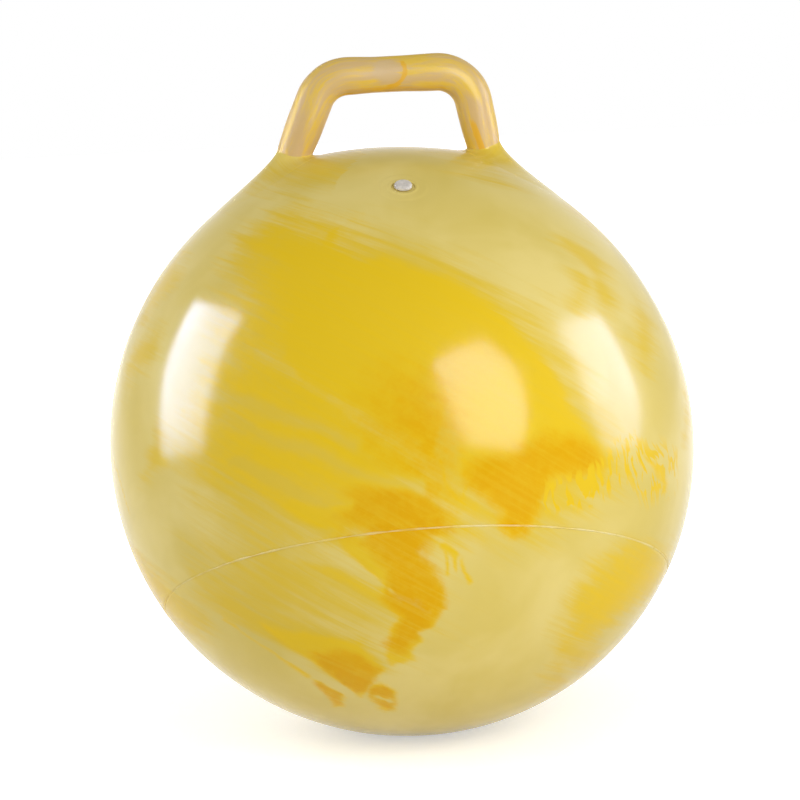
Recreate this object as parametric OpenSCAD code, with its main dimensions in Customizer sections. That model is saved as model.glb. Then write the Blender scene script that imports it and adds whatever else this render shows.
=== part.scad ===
// Hopper ball: a blown-up soft ball with a moulded hand loop on top and a push-in air plug.
// +Z is up along the ball's axis, -Y is the front with the air valve, +X is to the right.
// The origin is the centre of the flat where the ball rests on the floor.

/* [Ball] */
// Diameter of the blown-up ball
ball_d = 450; // [400:5:650]
// Thickness of the soft skin
skin_wall = 1.2; // [0.8:0.1:3]
// How far the hand loop draws the top of the ball up
crown_lift = 5; // [0:0.5:12]
// Angle from the top at which that lift has died away
crown_reach = 75; // [50:1:85]
// How far the ball flattens where it rests on the floor
floor_sag = 2; // [0.5:0.1:8]

/* [Mould seam] */
// Distance from the ball's centre to the plane of the mould seam
seam_drop = 117; // [90:1:150]
// Tilt of the seam, higher at the front
seam_tilt = 24; // [0:1:32]
// Width of the raised line that the mould leaves
flash_w = 1.5; // [0.6:0.1:3]
// Height of that line
flash_h = 0.6; // [0.3:0.1:1.5]

/* [Hand loop] */
// Diameter of the loop's tube
grip_d = 28.8; // [24:0.2:34]
// Thickness of the tube's wall
grip_wall = 4.2; // [2:0.1:6]
// Clear height for the hand, from the top of the ball to the bar
hand_gap = 41.7; // [34:0.1:60]
// Distance from the ball's axis to the root of the left leg
left_root_x = 78.5; // [70:0.5:95]
// Distance from the ball's axis to the root of the right leg
right_root_x = 75.8; // [68:0.1:95]
// Lean of the left leg towards the middle
left_lean = 23.7; // [0:0.1:28]
// Lean of the right leg towards the middle
right_lean = 10.3; // [0:0.1:28]
// Radius of the bends, at the middle of the tube
bend_r = 28.5; // [20:0.5:30]
// Length of leg that goes on inside the skin
leg_tail = 4; // [1:0.5:10]

/* [Leg roots] */
// Height of the flare up the outer side of a leg
flare_rise = 20; // [8:0.5:28]
// Spread of that flare over the ball
flare_reach = 66; // [30:1:90]
// Height of the flare up the inner side of a leg
crease_rise = 4; // [2:0.5:8]
// Spread of the inner flare over the ball
crease_reach = 10; // [6:0.5:16]

/* [Air valve] */
// Angle from the top of the ball forward to the valve
valve_angle = 26.5; // [24:0.5:45]
// Diameter of the thick flange under the skin
seat_flange_d = 36; // [26:0.5:44]
// Thickness of that flange
seat_flange_t = 1.8; // [1:0.1:4]
// Diameter of the neck that comes up through the skin
seat_neck_d = 17; // [15:0.5:22]
// Depth of the neck below the outside of the skin
seat_depth = 14; // [10:0.5:22]

/* [Air plug] */
// Diameter of the plug's head
plug_head_d = 13.3; // [11:0.1:14.5]
// Height of the plug's head
plug_head_h = 3.2; // [2:0.1:5]
// Rounding of the head's rim
plug_head_round = 1.2; // [0.4:0.1:1.6]
// Diameter of the dimple in the head
plug_dimple_d = 3.4; // [2:0.1:5]
// Depth of that dimple
plug_dimple_depth = 0.7; // [0.3:0.1:1.2]
// Diameter of the plug's stem
plug_stem_d = 7; // [5:0.1:8.5]
// Length of the stem below the head
plug_stem_l = 16; // [12:0.5:24]
// Width of each groove between the stem's ribs
plug_groove_w = 2; // [1:0.1:3]
// Depth of those grooves
plug_groove_depth = 0.6; // [0.2:0.1:1]
// Length of the taper at the stem's tip
plug_tip_l = 3; // [1:0.1:4]
// Diameter of the end of the tip
plug_tip_d = 5; // [3:0.1:6.5]

/* [Hidden] */
$fn = 96;

// Hair gap between sections of the one moulding
weld_gap = 0.05;
// Running gap of the plug's stem in its bore
plug_clearance = 0.06;
// Gap under the plug's head when it is pushed home
head_gap = 0.3;
// Gap between a root's flare and the skin under it
root_gap = 0.15;
// Run of a flare, as a share of its length, at which its thin edge is cut off square
flare_end_share = 0.8;
// Places of the stem's grooves, as shares of the stem's length below the head
plug_groove_shares = [0.3, 0.6];
// Steps of the skin's outline from top to bottom
skin_steps = 60;
// Flat sides round the loop's tube, steps in each of its bends and rings in a root's flare
ring_sides = 32;
bend_steps = 8;
flare_rings = 5;
// Steps over the back of the raised line
flash_steps = 16;
// Rounds of the search for the point where a line of the leg meets the skin
search_rounds = 6;

ball_r = ball_d / 2;
// Height of the ball's centre over the floor
ball_z = ball_r - floor_sag;
grip_r = grip_d / 2;
// Radius of the seam's circle
seam_r = sqrt(pow(ball_r, 2) - pow(seam_drop, 2));
// Cutting blocks reach past the whole ball
beyond = 2 * ball_d;
// Height of the bar's centre line over the ball's centre
bar_z = ball_r + crown_lift + hand_gap + grip_r;

// Radius of the outside of the skin at an angle from the top: a cosine hump on a sphere
function skin_r(angle) =
    ball_r + (angle < crown_reach ? crown_lift * (1 + cos(180 * angle / crown_reach)) / 2 : 0);
function unit(v) = v / norm(v);
function top_angle(p) = acos(p[2] / norm(p));
// The point of the skin in the direction of p, raised by a given height
function on_skin(p, height) = unit(p) * (skin_r(top_angle(p)) + height);

// Each leg is [side, distance of its root from the axis, lean], with side -1 on the left
left_leg = [-1, left_root_x, left_lean];
right_leg = [1, right_root_x, right_lean];
// Middle of a leg's root, on the skin
function root_point(leg) =
    let (radius = skin_r(asin(leg[1] / (ball_r + crown_lift))))
    [leg[0] * leg[1], 0, sqrt(pow(radius, 2) - pow(leg[1], 2))];
// Direction of a leg, upwards
function leg_axis(leg) = [-leg[0] * sin(leg[2]), 0, cos(leg[2])];
// Direction across a leg, away from the middle of the ball
function leg_out(leg) = [leg[0] * cos(leg[2]), 0, sin(leg[2])];
// Sideways place of the corner where a leg's line meets the bar's line
function corner_x(leg) =
    root_point(leg)[0] - leg[0] * (bar_z - root_point(leg)[2]) * tan(leg[2]);
// Distance from that corner to where each bend begins
function bend_run(leg) = bend_r * tan((90 - leg[2]) / 2);
// Sideways place of the centre of a bend
function bend_x(leg) = corner_x(leg) - leg[0] * bend_run(leg);
// Half the length of the drill that lets a leg through the skin
drill_run = 2 * grip_d;

valve_r = skin_r(valve_angle);
seat_bore_d = plug_stem_d + 2 * plug_clearance;

// The whole ball as a filled body, drawn in by a given depth
module ball_body(inset) {
    rotate_extrude()
        polygon([
            for (step = [0:skin_steps])
                let (angle = 180 * step / skin_steps, radius = skin_r(angle) - inset)
                    [radius * sin(angle), radius * cos(angle)]
        ]);
}

// Everything on one side of the seam's plane: above with side 1, below with side -1
module seam_side(side) {
    rotate([-seam_tilt, 0, 0])
        translate([0, 0, side * beyond / 2 - seam_drop])
            cube(beyond, center = true);
}

// Everything below a height over the ball's centre
module below(height) {
    translate([0, 0, height - beyond / 2])
        cube(beyond, center = true);
}

// Moves a shape from the ball's centre to the valve, looking outwards
module at_valve(height) {
    rotate([valve_angle, 0, 0])
        translate([0, 0, height])
            children();
}

// The hole that lets a leg through the skin
module leg_hole(leg) {
    translate(root_point(leg))
        rotate([0, -leg[0] * leg[2], 0])
            cylinder(d = grip_d + 2 * weld_gap, h = 2 * drill_run, center = true);
}

module upper_skin() {
    color([0.87, 0.80, 0.47])
        translate([0, 0, ball_z])
            difference() {
                ball_body(0);
                ball_body(skin_wall);
                seam_side(-1);
                leg_hole(left_leg);
                leg_hole(right_leg);
                at_valve(0)
                    cylinder(d = seat_neck_d + 2 * weld_gap, h = beyond);
            }
}

module lower_skin() {
    color([0.90, 0.80, 0.42])
        translate([0, 0, ball_z])
            difference() {
                sphere(r = ball_r);
                difference() {
                    sphere(r = ball_r - skin_wall);
                    below(skin_wall - ball_z);
                }
                below(-ball_z);
                seam_side(1);
            }
}

// Half an oval that stands on the skin at the seam, turned round the seam's axis
module seam_flash() {
    outward = [seam_r, -seam_drop] / ball_r;
    across = [seam_drop, seam_r] / ball_r;
    color([0.93, 0.88, 0.62])
        translate([0, 0, ball_z])
            rotate([-seam_tilt, 0, 0])
                rotate_extrude()
                    polygon([
                        for (step = [0:flash_steps])
                            let (angle = 180 * step / flash_steps)
                                (ball_r + weld_gap + flash_h * sin(angle)) * outward
                                    + flash_w / 2 * cos(angle) * across
                    ]);
}

// Direction from a leg's middle to its side at an angle round it, 0 being the outer side
function leg_side(leg, angle) = cos(angle) * leg_out(leg) + [0, sin(angle), 0];
// A point at a radius on the side of a leg, a given length up from the root
function leg_line(leg, angle, radius, up) =
    root_point(leg) + radius * leg_side(leg, angle) + up * leg_axis(leg);
// How far up that line a height over the skin is met, by stepping along it until it is right
function line_up(leg, angle, radius, height, up, rounds) =
    rounds == 0 ? up :
    let (p = leg_line(leg, angle, radius, up),
         over = norm(p) - skin_r(top_angle(p)) - height)
    line_up(leg, angle, radius, height, up - over * norm(p) / (leg_axis(leg) * p), rounds - 1);
// The point where a line on the side of a leg meets a height over the skin
function leg_meets(leg, angle, radius, height) =
    leg_line(leg, angle, radius, line_up(leg, angle, radius, height, 0, search_rounds));

// A ring's points, all the way round a leg or the loop
ring_angles = [for (side = [0:ring_sides - 1]) 360 * side / ring_sides];
// A strip of triangles between two rings that begin at points a and b
function strip(a, b) = [
    for (side = [0:ring_sides - 1])
        let (next = (side + 1) % ring_sides)
            each [[a + side, a + next, b + next], [a + side, b + next, b + side]]
];
// Strips through a row of rings, the first of which begins at a point
function strips(start, rings) = [
    for (ring = [0:rings - 2])
        each strip(start + ring * ring_sides, start + (ring + 1) * ring_sides)
];
function turned(faces) = [for (face = faces) [face[2], face[1], face[0]]];

// Rings of the loop's tube at a radius: the left leg's end inside the skin, the left bend, the
// right bend and the right leg's end, with the legs and the bar as the long strips between them
function leg_end(leg, radius) =
    [for (angle = ring_angles) leg_meets(leg, angle, radius, -skin_wall - leg_tail)];
function bend_ring(leg, turn, radius) = [
    for (angle = ring_angles)
        let (reach = bend_r + radius * cos(angle))
            [bend_x(leg) + reach * cos(turn), radius * sin(angle), bar_z - bend_r + reach * sin(turn)]
];
function loop_rings(radius) = [
    leg_end(left_leg, radius),
    for (step = [0:bend_steps])
        bend_ring(left_leg, 90 + (90 - left_lean) * (1 - step / bend_steps), radius),
    for (step = [0:bend_steps])
        bend_ring(right_leg, 90 - (90 - right_lean) * step / bend_steps, radius),
    leg_end(right_leg, radius)
];

module handle_loop() {
    outer = loop_rings(grip_r);
    inner = loop_rings(grip_r - grip_wall);
    count = len(outer);
    bore = count * ring_sides;
    last = (count - 1) * ring_sides;
    color([0.87, 0.71, 0.50])
        translate([0, 0, ball_z])
            polyhedron(
                [for (ring = concat(outer, inner)) each ring],
                concat(strips(0, count), turned(strips(bore, count)),
                       turned(strip(0, bore)), strip(last, bore + last)));
}

// Radius of the flat-sided hole that clears a leg
root_bore_r = (grip_r + weld_gap) / cos(180 / ring_sides);
// Share of the outer side in a flare at an angle round its leg
function outer_share(angle) = pow((1 + cos(angle)) / 2, 2);
function flare_size(angle, inner, outer) = inner + (outer - inner) * outer_share(angle);

// A line of the flare from the leg, at share 0, to the ball, at share 1. The skin point runs off
// from the crease with the square of the share, and the rise up the leg dies off with the square
// of what is left, so the line leaves along the leg and lands along the skin.
function flare_point(leg, angle, share, rise) =
    let (crease = leg_meets(leg, angle, root_bore_r, root_gap),
         up = unit(crease),
         out = leg_side(leg, angle),
         along = unit(out - (out * up) * up),
         run = flare_size(angle, crease_reach, flare_reach) * pow(share, 2))
    on_skin(crease + run * along, root_gap) + rise * pow(1 - share, 2) * leg_axis(leg);

// A flared collar round one leg: rings of the outer face, then the same rings lying on the skin
module root_collar(leg) {
    shares = [for (ring = [0:flare_rings]) flare_end_share * ring / flare_rings];
    points = [
        for (share = shares)
            for (angle = ring_angles)
                flare_point(leg, angle, share, flare_size(angle, crease_rise, flare_rise)),
        for (share = shares)
            for (angle = ring_angles)
                flare_point(leg, angle, share, 0)
    ];
    count = len(shares);
    under = count * ring_sides;
    last = (count - 1) * ring_sides;
    faces = concat(strips(0, count), turned(strips(under, count)),
                   turned(strip(0, under)), strip(last, under + last));
    // Rings run the other way round on the two sides of the ball
    polyhedron(points, leg[0] < 0 ? turned(faces) : faces);
}

module left_root() {
    color([0.89, 0.75, 0.45])
        translate([0, 0, ball_z])
            root_collar(left_leg);
}

module right_root() {
    color([0.89, 0.72, 0.40])
        translate([0, 0, ball_z])
            root_collar(right_leg);
}

module valve_seat() {
    color([0.84, 0.77, 0.48])
        translate([0, 0, ball_z])
            difference() {
                union() {
                    intersection() {
                        at_valve(0)
                            cylinder(d = seat_flange_d, h = beyond);
                        difference() {
                            ball_body(skin_wall + weld_gap);
                            ball_body(skin_wall + weld_gap + seat_flange_t);
                        }
                    }
                    intersection() {
                        at_valve(valve_r - seat_depth)
                            cylinder(d = seat_neck_d, h = beyond);
                        ball_body(0);
                    }
                }
                at_valve(0)
                    cylinder(d = seat_bore_d, h = beyond);
            }
}

// Outline of the plug's head: a disc with a rounded rim and a round dimple
module plug_head_outline() {
    head_r = plug_head_d / 2;
    dimple_ball_r = (pow(plug_dimple_d / 2, 2) + pow(plug_dimple_depth, 2)) / (2 * plug_dimple_depth);
    difference() {
        union() {
            square([head_r - plug_head_round, plug_head_h]);
            square([head_r, plug_head_h - plug_head_round]);
            translate([head_r - plug_head_round, plug_head_h - plug_head_round])
                circle(r = plug_head_round);
        }
        translate([0, plug_head_h - plug_dimple_depth + dimple_ball_r])
            circle(r = dimple_ball_r);
        // Only the half beside the axis is turned
        translate([-plug_head_d, -plug_head_h])
            square([plug_head_d, 3 * plug_head_h]);
    }
}

module valve_plug() {
    color("white")
        translate([0, 0, ball_z])
            at_valve(valve_r + head_gap)
                difference() {
                    union() {
                        rotate_extrude()
                            plug_head_outline();
                        translate([0, 0, plug_tip_l - plug_stem_l])
                            cylinder(d = plug_stem_d, h = plug_stem_l - plug_tip_l);
                        translate([0, 0, -plug_stem_l])
                            cylinder(d1 = plug_tip_d, d2 = plug_stem_d, h = plug_tip_l);
                    }
                    for (share = plug_groove_shares)
                        translate([0, 0, -share * plug_stem_l - plug_groove_w / 2])
                            difference() {
                                cylinder(d = 2 * plug_stem_d, h = plug_groove_w);
                                cylinder(d = plug_stem_d - 2 * plug_groove_depth, h = plug_groove_w);
                            }
                }
}

upper_skin();
lower_skin();
seam_flash();
handle_loop();
left_root();
right_root();
valve_seat();
valve_plug();
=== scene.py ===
"""Hopper ball: a blown-up marbled vinyl ball with a hand loop, a mould seam and an air plug.

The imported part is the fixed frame. Every piece here is a surface worked out from a few sizes and
stands for one solid of that part. Lengths are in metres: +Z up, -Y to the front, +X to the right.
"""

import math

import bpy
import numpy as np
from bpy.props import FloatProperty, FloatVectorProperty, PointerProperty
from mathutils import Matrix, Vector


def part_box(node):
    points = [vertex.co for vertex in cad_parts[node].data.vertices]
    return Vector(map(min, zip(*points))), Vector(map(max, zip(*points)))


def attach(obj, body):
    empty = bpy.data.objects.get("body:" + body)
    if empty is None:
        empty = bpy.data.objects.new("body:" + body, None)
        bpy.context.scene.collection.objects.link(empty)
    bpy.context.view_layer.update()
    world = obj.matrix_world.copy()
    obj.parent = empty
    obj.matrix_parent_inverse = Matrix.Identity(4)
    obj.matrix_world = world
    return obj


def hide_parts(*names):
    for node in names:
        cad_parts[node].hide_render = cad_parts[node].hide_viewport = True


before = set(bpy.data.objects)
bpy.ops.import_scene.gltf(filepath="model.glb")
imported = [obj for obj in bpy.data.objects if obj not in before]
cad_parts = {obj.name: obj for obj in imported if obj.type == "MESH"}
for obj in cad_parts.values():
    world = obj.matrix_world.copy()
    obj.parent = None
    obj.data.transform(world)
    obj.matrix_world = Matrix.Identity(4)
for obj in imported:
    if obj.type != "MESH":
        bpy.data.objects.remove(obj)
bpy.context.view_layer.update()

bl_info = {
    "name": "Hopper Ball",
    "version": (1, 0, 0),
    "blender": (4, 5, 0),
    "location": "View3D > Sidebar > Hopper Ball",
    "description": "Builds a marbled hopper ball with its hand loop and air plug",
    "category": "Add Mesh",
}

BALL_BODY = "ball"
PLUG_BODY = "plug"
PICTURE_PIXELS = 800
MM = 0.001


def corners(box):
    """A box as two plain lists, its lowest and its highest corner."""
    return [list(corner) for corner in box]


SKIN_LOW, SKIN_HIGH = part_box("upper_skin")
FRAME_BALL_DIAMETER = round(SKIN_HIGH.x - SKIN_LOW.x, 4)


# Grid sizes of the surfaces
SKIN_COLUMNS = 380
SKIN_ROWS = 176
BOSS_ROWS = 44
INNER_ROWS = 12
LOWER_COLUMNS = 480
LOWER_ROWS = 170
SEAM_STEPS = 720
SEAM_SIDES = 12
LOOP_SIDES = 72
LEG_STEPS = 44
BEND_STEPS = 26
BAR_STEPS = 44
ROOT_SIDES = 144
ROOT_ROWS = 40
LATHE_SIDES = 72

# Share by which the skin's columns crowd towards the front
FRONT_CROWDING = 0.45
# Rounds of the searches for where a line meets the skin
SEARCH_ROUNDS = 6
# Sine waves in one field of soft waves
WAVE_COUNT = 14


def tone(red, green, blue):
    """A colour from its display values, 0 to 255, as the linear values that shaders take."""
    display = np.array([red, green, blue]) / 255
    linear = np.where(display <= 0.04045, display / 12.92, ((display + 0.055) / 1.055) ** 2.4)
    return tuple(float(value) for value in linear)


def length_setting(name, description, default):
    """A length in metres that a user can change."""
    return FloatProperty(
        name=name, description=description, default=default, unit="LENGTH", subtype="DISTANCE"
    )


def angle_setting(name, description, degrees):
    """An angle that a user can change."""
    return FloatProperty(
        name=name, description=description, default=math.radians(degrees), subtype="ANGLE"
    )


def level_setting(name, description, default):
    """A plain factor that a user can change."""
    return FloatProperty(name=name, description=description, default=default, subtype="FACTOR")


def colour_setting(name, description, default):
    """A linear colour that a user can change."""
    return FloatVectorProperty(
        name=name, description=description, default=default, size=3, min=0, max=1, subtype="COLOR"
    )


class HopperBallSkin(bpy.types.PropertyGroup):
    """Sizes of the blown-up ball and of its mould seam."""

    diameter: length_setting("Ball diameter", "Across the ball", FRAME_BALL_DIAMETER)
    wall: length_setting("Skin wall", "Thickness of the vinyl skin", 1.2 * MM)
    floor_sag: length_setting("Floor sag", "How far the floor presses the ball in", 2 * MM)
    crown_lift: length_setting("Crown lift", "How far the loop draws up the top", 5 * MM)
    crown_reach: angle_setting("Crown reach", "Angle from the top where the lift ends", 75)
    swell: length_setting("Swell", "Fullness of the soft skin over the moulded size", 0.8 * MM)
    oval: length_setting("Oval", "How far the skin is out of round", 1.7 * MM)
    oval_lean: angle_setting("Oval lean", "Lean of the long way of the oval", 45)
    leg_pull: length_setting("Leg pull", "How far each leg draws up the skin round it", 3.8 * MM)
    leg_pull_reach: length_setting("Leg pull reach", "Radius over which that pull dies off", 38 * MM)
    leg_away: length_setting("Leg distance", "Mean distance of the legs from the axis", 77 * MM)
    waviness: length_setting("Waviness", "Height of faint waves in the skin", 0.06 * MM)
    seam_drop: length_setting("Seam drop", "Mould seam's distance from the centre", 117 * MM)
    seam_tilt: angle_setting("Seam tilt", "Tilt of the mould seam, up at the front", 24)
    seam_width: length_setting("Seam width", "Width of the seam's raised line", 1.5 * MM)
    seam_height: length_setting("Seam height", "Height of the seam's raised line", 0.6 * MM)


class HopperBallLoop(bpy.types.PropertyGroup):
    """Sizes of the hand loop and of the roots that it stands on."""

    tube: length_setting("Tube", "Thickness of the loop's tube", 28.8 * MM)
    tube_wall: length_setting("Tube wall", "Thickness of the tube's wall", 4.2 * MM)
    hand_gap: length_setting("Hand gap", "Clear height under the bar", 41.7 * MM)
    left_root: length_setting("Left root", "Left leg's distance from the axis", 78.5 * MM)
    right_root: length_setting("Right root", "Right leg's distance from the axis", 75.8 * MM)
    left_lean: angle_setting("Left lean", "Lean of the left leg towards the middle", 23.7)
    right_lean: angle_setting("Right lean", "Lean of the right leg towards the middle", 10.3)
    bend_radius: length_setting("Bend radius", "Radius of the tube's two bends", 28.5 * MM)
    leg_tail: length_setting("Leg tail", "How far a leg runs on inside the ball", 24 * MM)
    flare_rise: length_setting("Flare rise", "Height of a root on its outer side", 20 * MM)
    flare_reach: length_setting("Flare reach", "Run of a root on its outer side", 66 * MM)
    crease_rise: length_setting("Crease rise", "Height of a root on its inner side", 4 * MM)
    crease_reach: length_setting("Crease reach", "Run of a root on its inner side", 10 * MM)


class HopperBallValve(bpy.types.PropertyGroup):
    """Sizes of the air valve's seat and plug."""

    angle: angle_setting("Valve angle", "Lean of the valve from the top to the front", 26.5)
    flange: length_setting("Seat flange", "Diameter of the flange under the skin", 36 * MM)
    flange_thick: length_setting("Flange thickness", "Thickness of the flange", 1.8 * MM)
    neck: length_setting("Seat neck", "Diameter of the sleeve in the skin", 17 * MM)
    neck_depth: length_setting("Neck depth", "Length of the sleeve", 14 * MM)
    head: length_setting("Plug head", "Diameter of the plug's head", 13.3 * MM)
    head_height: length_setting("Head height", "Height of the plug's head", 3.2 * MM)
    head_gap: length_setting("Head gap", "Gap under the plug's head", 0.3 * MM)
    stem: length_setting("Plug stem", "Diameter of the plug's stem", 7 * MM)
    stem_length: length_setting("Stem length", "Length of the plug's stem", 16 * MM)
    bore_gap: length_setting("Bore gap", "Gap between the stem and its bore", 0.06 * MM)


class HopperBallColours(bpy.types.PropertyGroup):
    """Colours of the vinyl, its dye and the plug."""

    pale: colour_setting("Pale vinyl", "Bare vinyl of the ball", tone(235, 214, 130))
    olive: colour_setting("Olive vinyl", "Cloudier places of the bare vinyl", tone(225, 202, 106))
    veil: colour_setting("Thin dye", "Vinyl with a thin veil of dye", tone(230, 196, 54))
    gold: colour_setting("Golden dye", "Vinyl with full dye", tone(238, 200, 34))
    deep: colour_setting("Deep dye", "Vinyl where the dye is thickest", tone(231, 173, 0))
    seam: colour_setting("Seam", "Bare flash of the mould seam", tone(240, 226, 168))
    loop: colour_setting("Loop vinyl", "Bare vinyl of the hand loop", tone(221, 187, 128))
    loop_pale: colour_setting("Loop light", "Milky places of the hand loop", tone(220, 190, 138))
    loop_dye: colour_setting("Loop dye", "Streaks of dye in the hand loop", tone(238, 200, 74))
    # Thick dye on the hand loop; the same colour is also painted shade under the bar and in the crease
    # at each foot
    loop_dye_and_shade: colour_setting("Loop marks", "Thick dye on the hand loop", tone(236, 182, 50))
    plug: colour_setting("Plug", "Plastic of the air plug", tone(224, 217, 208))
    floor: colour_setting("Floor", "Paint of the studio floor", tone(246, 246, 246))


class HopperBallStage(bpy.types.PropertyGroup):
    """Camera and lamps of the studio."""

    azimuth: angle_setting("Azimuth", "Side from which the camera looks", -5.4)
    elevation: angle_setting("Elevation", "Height of the camera's view", 8)
    roll: angle_setting("Roll", "Lean of the picture", -2.67)
    distance: length_setting("Distance", "Camera's distance from the ball's centre", 2.2)
    focal: FloatProperty(
        name="Focal length", description="Lens of the camera", default=127.28, unit="CAMERA"
    )
    aside: level_setting("Aside", "Ball's place to the right of the middle, in pixels", 2)
    below: level_setting("Below", "Ball's place below the middle, in pixels", 44.8)
    ambient: level_setting("Room light", "Strength of the light from all round", 0.5)
    softbox: level_setting("Softbox light", "Brightness of the softboxes", 3.2)
    gleam: level_setting("Softbox gleam", "Brightness of the softboxes in reflections", 43.0)


class HopperBallSettings(bpy.types.PropertyGroup):
    """All settings of the hopper ball."""

    skin: PointerProperty(type=HopperBallSkin)
    loop: PointerProperty(type=HopperBallLoop)
    valve: PointerProperty(type=HopperBallValve)
    colours: PointerProperty(type=HopperBallColours)
    stage: PointerProperty(type=HopperBallStage)


# Small mathematics shared by the surfaces


def smooth_step(low, high, value):
    """Rises from 0 at low to 1 at high as 3 t squared less 2 t cubed, t being the share of the way."""
    share = np.clip((value - low) / (high - low), 0, 1)
    return share * share * (3 - 2 * share)


def unit(vectors):
    """Vectors divided by their own lengths."""
    return vectors / np.linalg.norm(vectors, axis=-1, keepdims=True)


def soft_waves(points, wavelength, seed):
    """A smooth random field of spread 1: sine waves along random directions, summed.

    Their lengths are spread about the given wavelength, and the seed fixes them."""
    source = np.random.default_rng(seed)
    directions = unit(source.normal(size=(WAVE_COUNT, 3)))
    pace = math.tau / wavelength * source.uniform(0.6, 1.5, WAVE_COUNT)
    phase = source.uniform(0, math.tau, WAVE_COUNT)
    swing = np.sin(points @ (directions * pace[:, None]).T + phase)
    return swing.sum(axis=-1) * math.sqrt(2 / WAVE_COUNT)


def ring_turns(count):
    """Equal turns all the way round, the last stopping short of the first."""
    return np.arange(count) * (math.tau / count)


# Turning grids into pieces


def band_faces(index):
    """Quads between neighbouring rows of a grid of point numbers, closed round the columns."""
    after = np.roll(index, -1, axis=1)
    return np.stack([index[:-1], index[1:], after[1:], after[:-1]], axis=-1).reshape(-1, 4)


def ring_grid(grid):
    """Points and faces of a grid closed both ways, as a thick shell with a hole through it is."""
    rows, columns = grid.shape[:2]
    index = np.arange(rows * columns).reshape(rows, columns)
    faces = band_faces(np.vstack([index, index[:1]]))
    return grid.reshape(-1, 3), faces.tolist()


def capped_grid(grid, first, last):
    """Points and faces of a grid closed round its columns, with a pole point at either end."""
    rows, columns = grid.shape[:2]
    index = np.arange(rows * columns).reshape(rows, columns)
    points = np.vstack([grid.reshape(-1, 3), first, last])
    near, far = rows * columns, rows * columns + 1
    after = np.roll(index, -1, axis=1)
    start = np.stack([np.full(columns, near), index[0], after[0]], axis=-1)
    end = np.stack([index[-1], np.full(columns, far), after[-1]], axis=-1)
    return points, band_faces(index).tolist() + start.tolist() + end.tolist()


def enclosed_volume(points, faces):
    """Volume inside closed faces: a sixth of the sum of corner triple products, by triangles."""
    fans = [(face[0], face[step], face[step + 1]) for face in faces for step in range(1, len(face) - 1)]
    corner = points[np.array(fans)]
    return np.einsum("ij,ij->", corner[:, 0], np.cross(corner[:, 1], corner[:, 2])) / 6


def make_piece(name, shape, body, node, material, attributes=None):
    """Puts a closed surface into a smooth mesh that rides on a body and stands for a solid."""
    points, faces = shape
    if enclosed_volume(points, faces) < 0:
        faces = [face[::-1] for face in faces]
    mesh = bpy.data.meshes.new(name)
    mesh.from_pydata(points.tolist(), [], faces)
    for label, values in (attributes or {}).items():
        kind = "FLOAT_VECTOR" if values.ndim == 2 else "FLOAT"
        field = "vector" if values.ndim == 2 else "value"
        layer = mesh.attributes.new(label, kind, "POINT")
        layer.data.foreach_set(field, values.astype(np.float32).ravel())
    mesh.polygons.foreach_set("use_smooth", np.ones(len(mesh.polygons), bool))
    mesh.materials.append(material)
    mesh.update()
    piece = bpy.data.objects.new(name, mesh)
    bpy.context.scene.collection.objects.link(piece)
    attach(piece, body)
    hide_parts(node)
    return piece


# The ball

# Wavelength of the skin's faint waves, on a ball of radius 1, and their seed
SKIN_WAVE, SKIN_WAVE_SEED = 0.35, 11
# Share of its height that the seam keeps at the back
BACK_SEAM = 0.3
# Wavelength and seed of the changes in the seam's width and height
SEAM_WIDTH_WAVE, SEAM_WIDTH_SEED = 0.16, 3
SEAM_HEIGHT_WAVE, SEAM_HEIGHT_SEED = 0.1, 5


def ball_centre(skin):
    """Middle of the ball, its radius less the sag over the floor."""
    return np.array([0.0, 0.0, skin.diameter / 2 - skin.floor_sag])


def moulded_radius(from_top, skin):
    """Radius of the moulding at an angle from the top: a cosine hump on a sphere."""
    hump = 0.5 + 0.5 * np.cos(math.pi * np.minimum(from_top / skin.crown_reach, 1))
    return skin.diameter / 2 + skin.crown_lift * hump


def skin_radius(direction, skin):
    """Radius of the blown-up skin along unit directions from the ball's middle.

    It is the moulded radius and an even swell, an oval term, which is the squared share of the
    direction along the long way less that along the short way, a bell-shaped rise round each leg
    and faint waves."""
    from_top = np.arccos(np.clip(direction[..., 2], -1, 1))
    long_way = np.array([-math.sin(skin.oval_lean), 0, math.cos(skin.oval_lean)])
    short_way = np.array([math.cos(skin.oval_lean), 0, math.sin(skin.oval_lean)])
    oval = (direction @ long_way) ** 2 - (direction @ short_way) ** 2
    level = skin.diameter / 2 * np.abs(direction[..., :2])
    from_leg = np.hypot(level[..., 0] - skin.leg_away, level[..., 1])
    pulled = np.exp(-((from_leg / skin.leg_pull_reach) ** 2)) * smooth_step(0, 0.5, direction[..., 2])
    waves = soft_waves(direction, SKIN_WAVE, SKIN_WAVE_SEED)
    soft = skin.swell + skin.oval * oval + skin.leg_pull * pulled + skin.waviness * waves
    return moulded_radius(from_top, skin) + soft


def seam_normal(skin):
    """Direction across the seam's plane, upwards."""
    return np.array([0.0, math.sin(skin.seam_tilt), math.cos(skin.seam_tilt)])


def side_ways(axis):
    """Two directions across an axis in the YZ plane, the first to the right."""
    right = np.array([1.0, 0.0, 0.0])
    return right, np.cross(axis, right)


def valve_axis(valve):
    """Direction from the ball's middle out through the valve."""
    return np.array([0.0, -math.sin(valve.angle), math.cos(valve.angle)])


def settle_on_floor(points):
    """Presses points up to the floor: the height becomes the mean of itself and the root of its
    square plus a small square, so the skin turns into the flat in a small round."""
    height = points[..., 2]
    rounding = 0.5 * MM
    points[..., 2] = 0.5 * (height + np.sqrt(height**2 + rounding**2))
    return points


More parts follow.
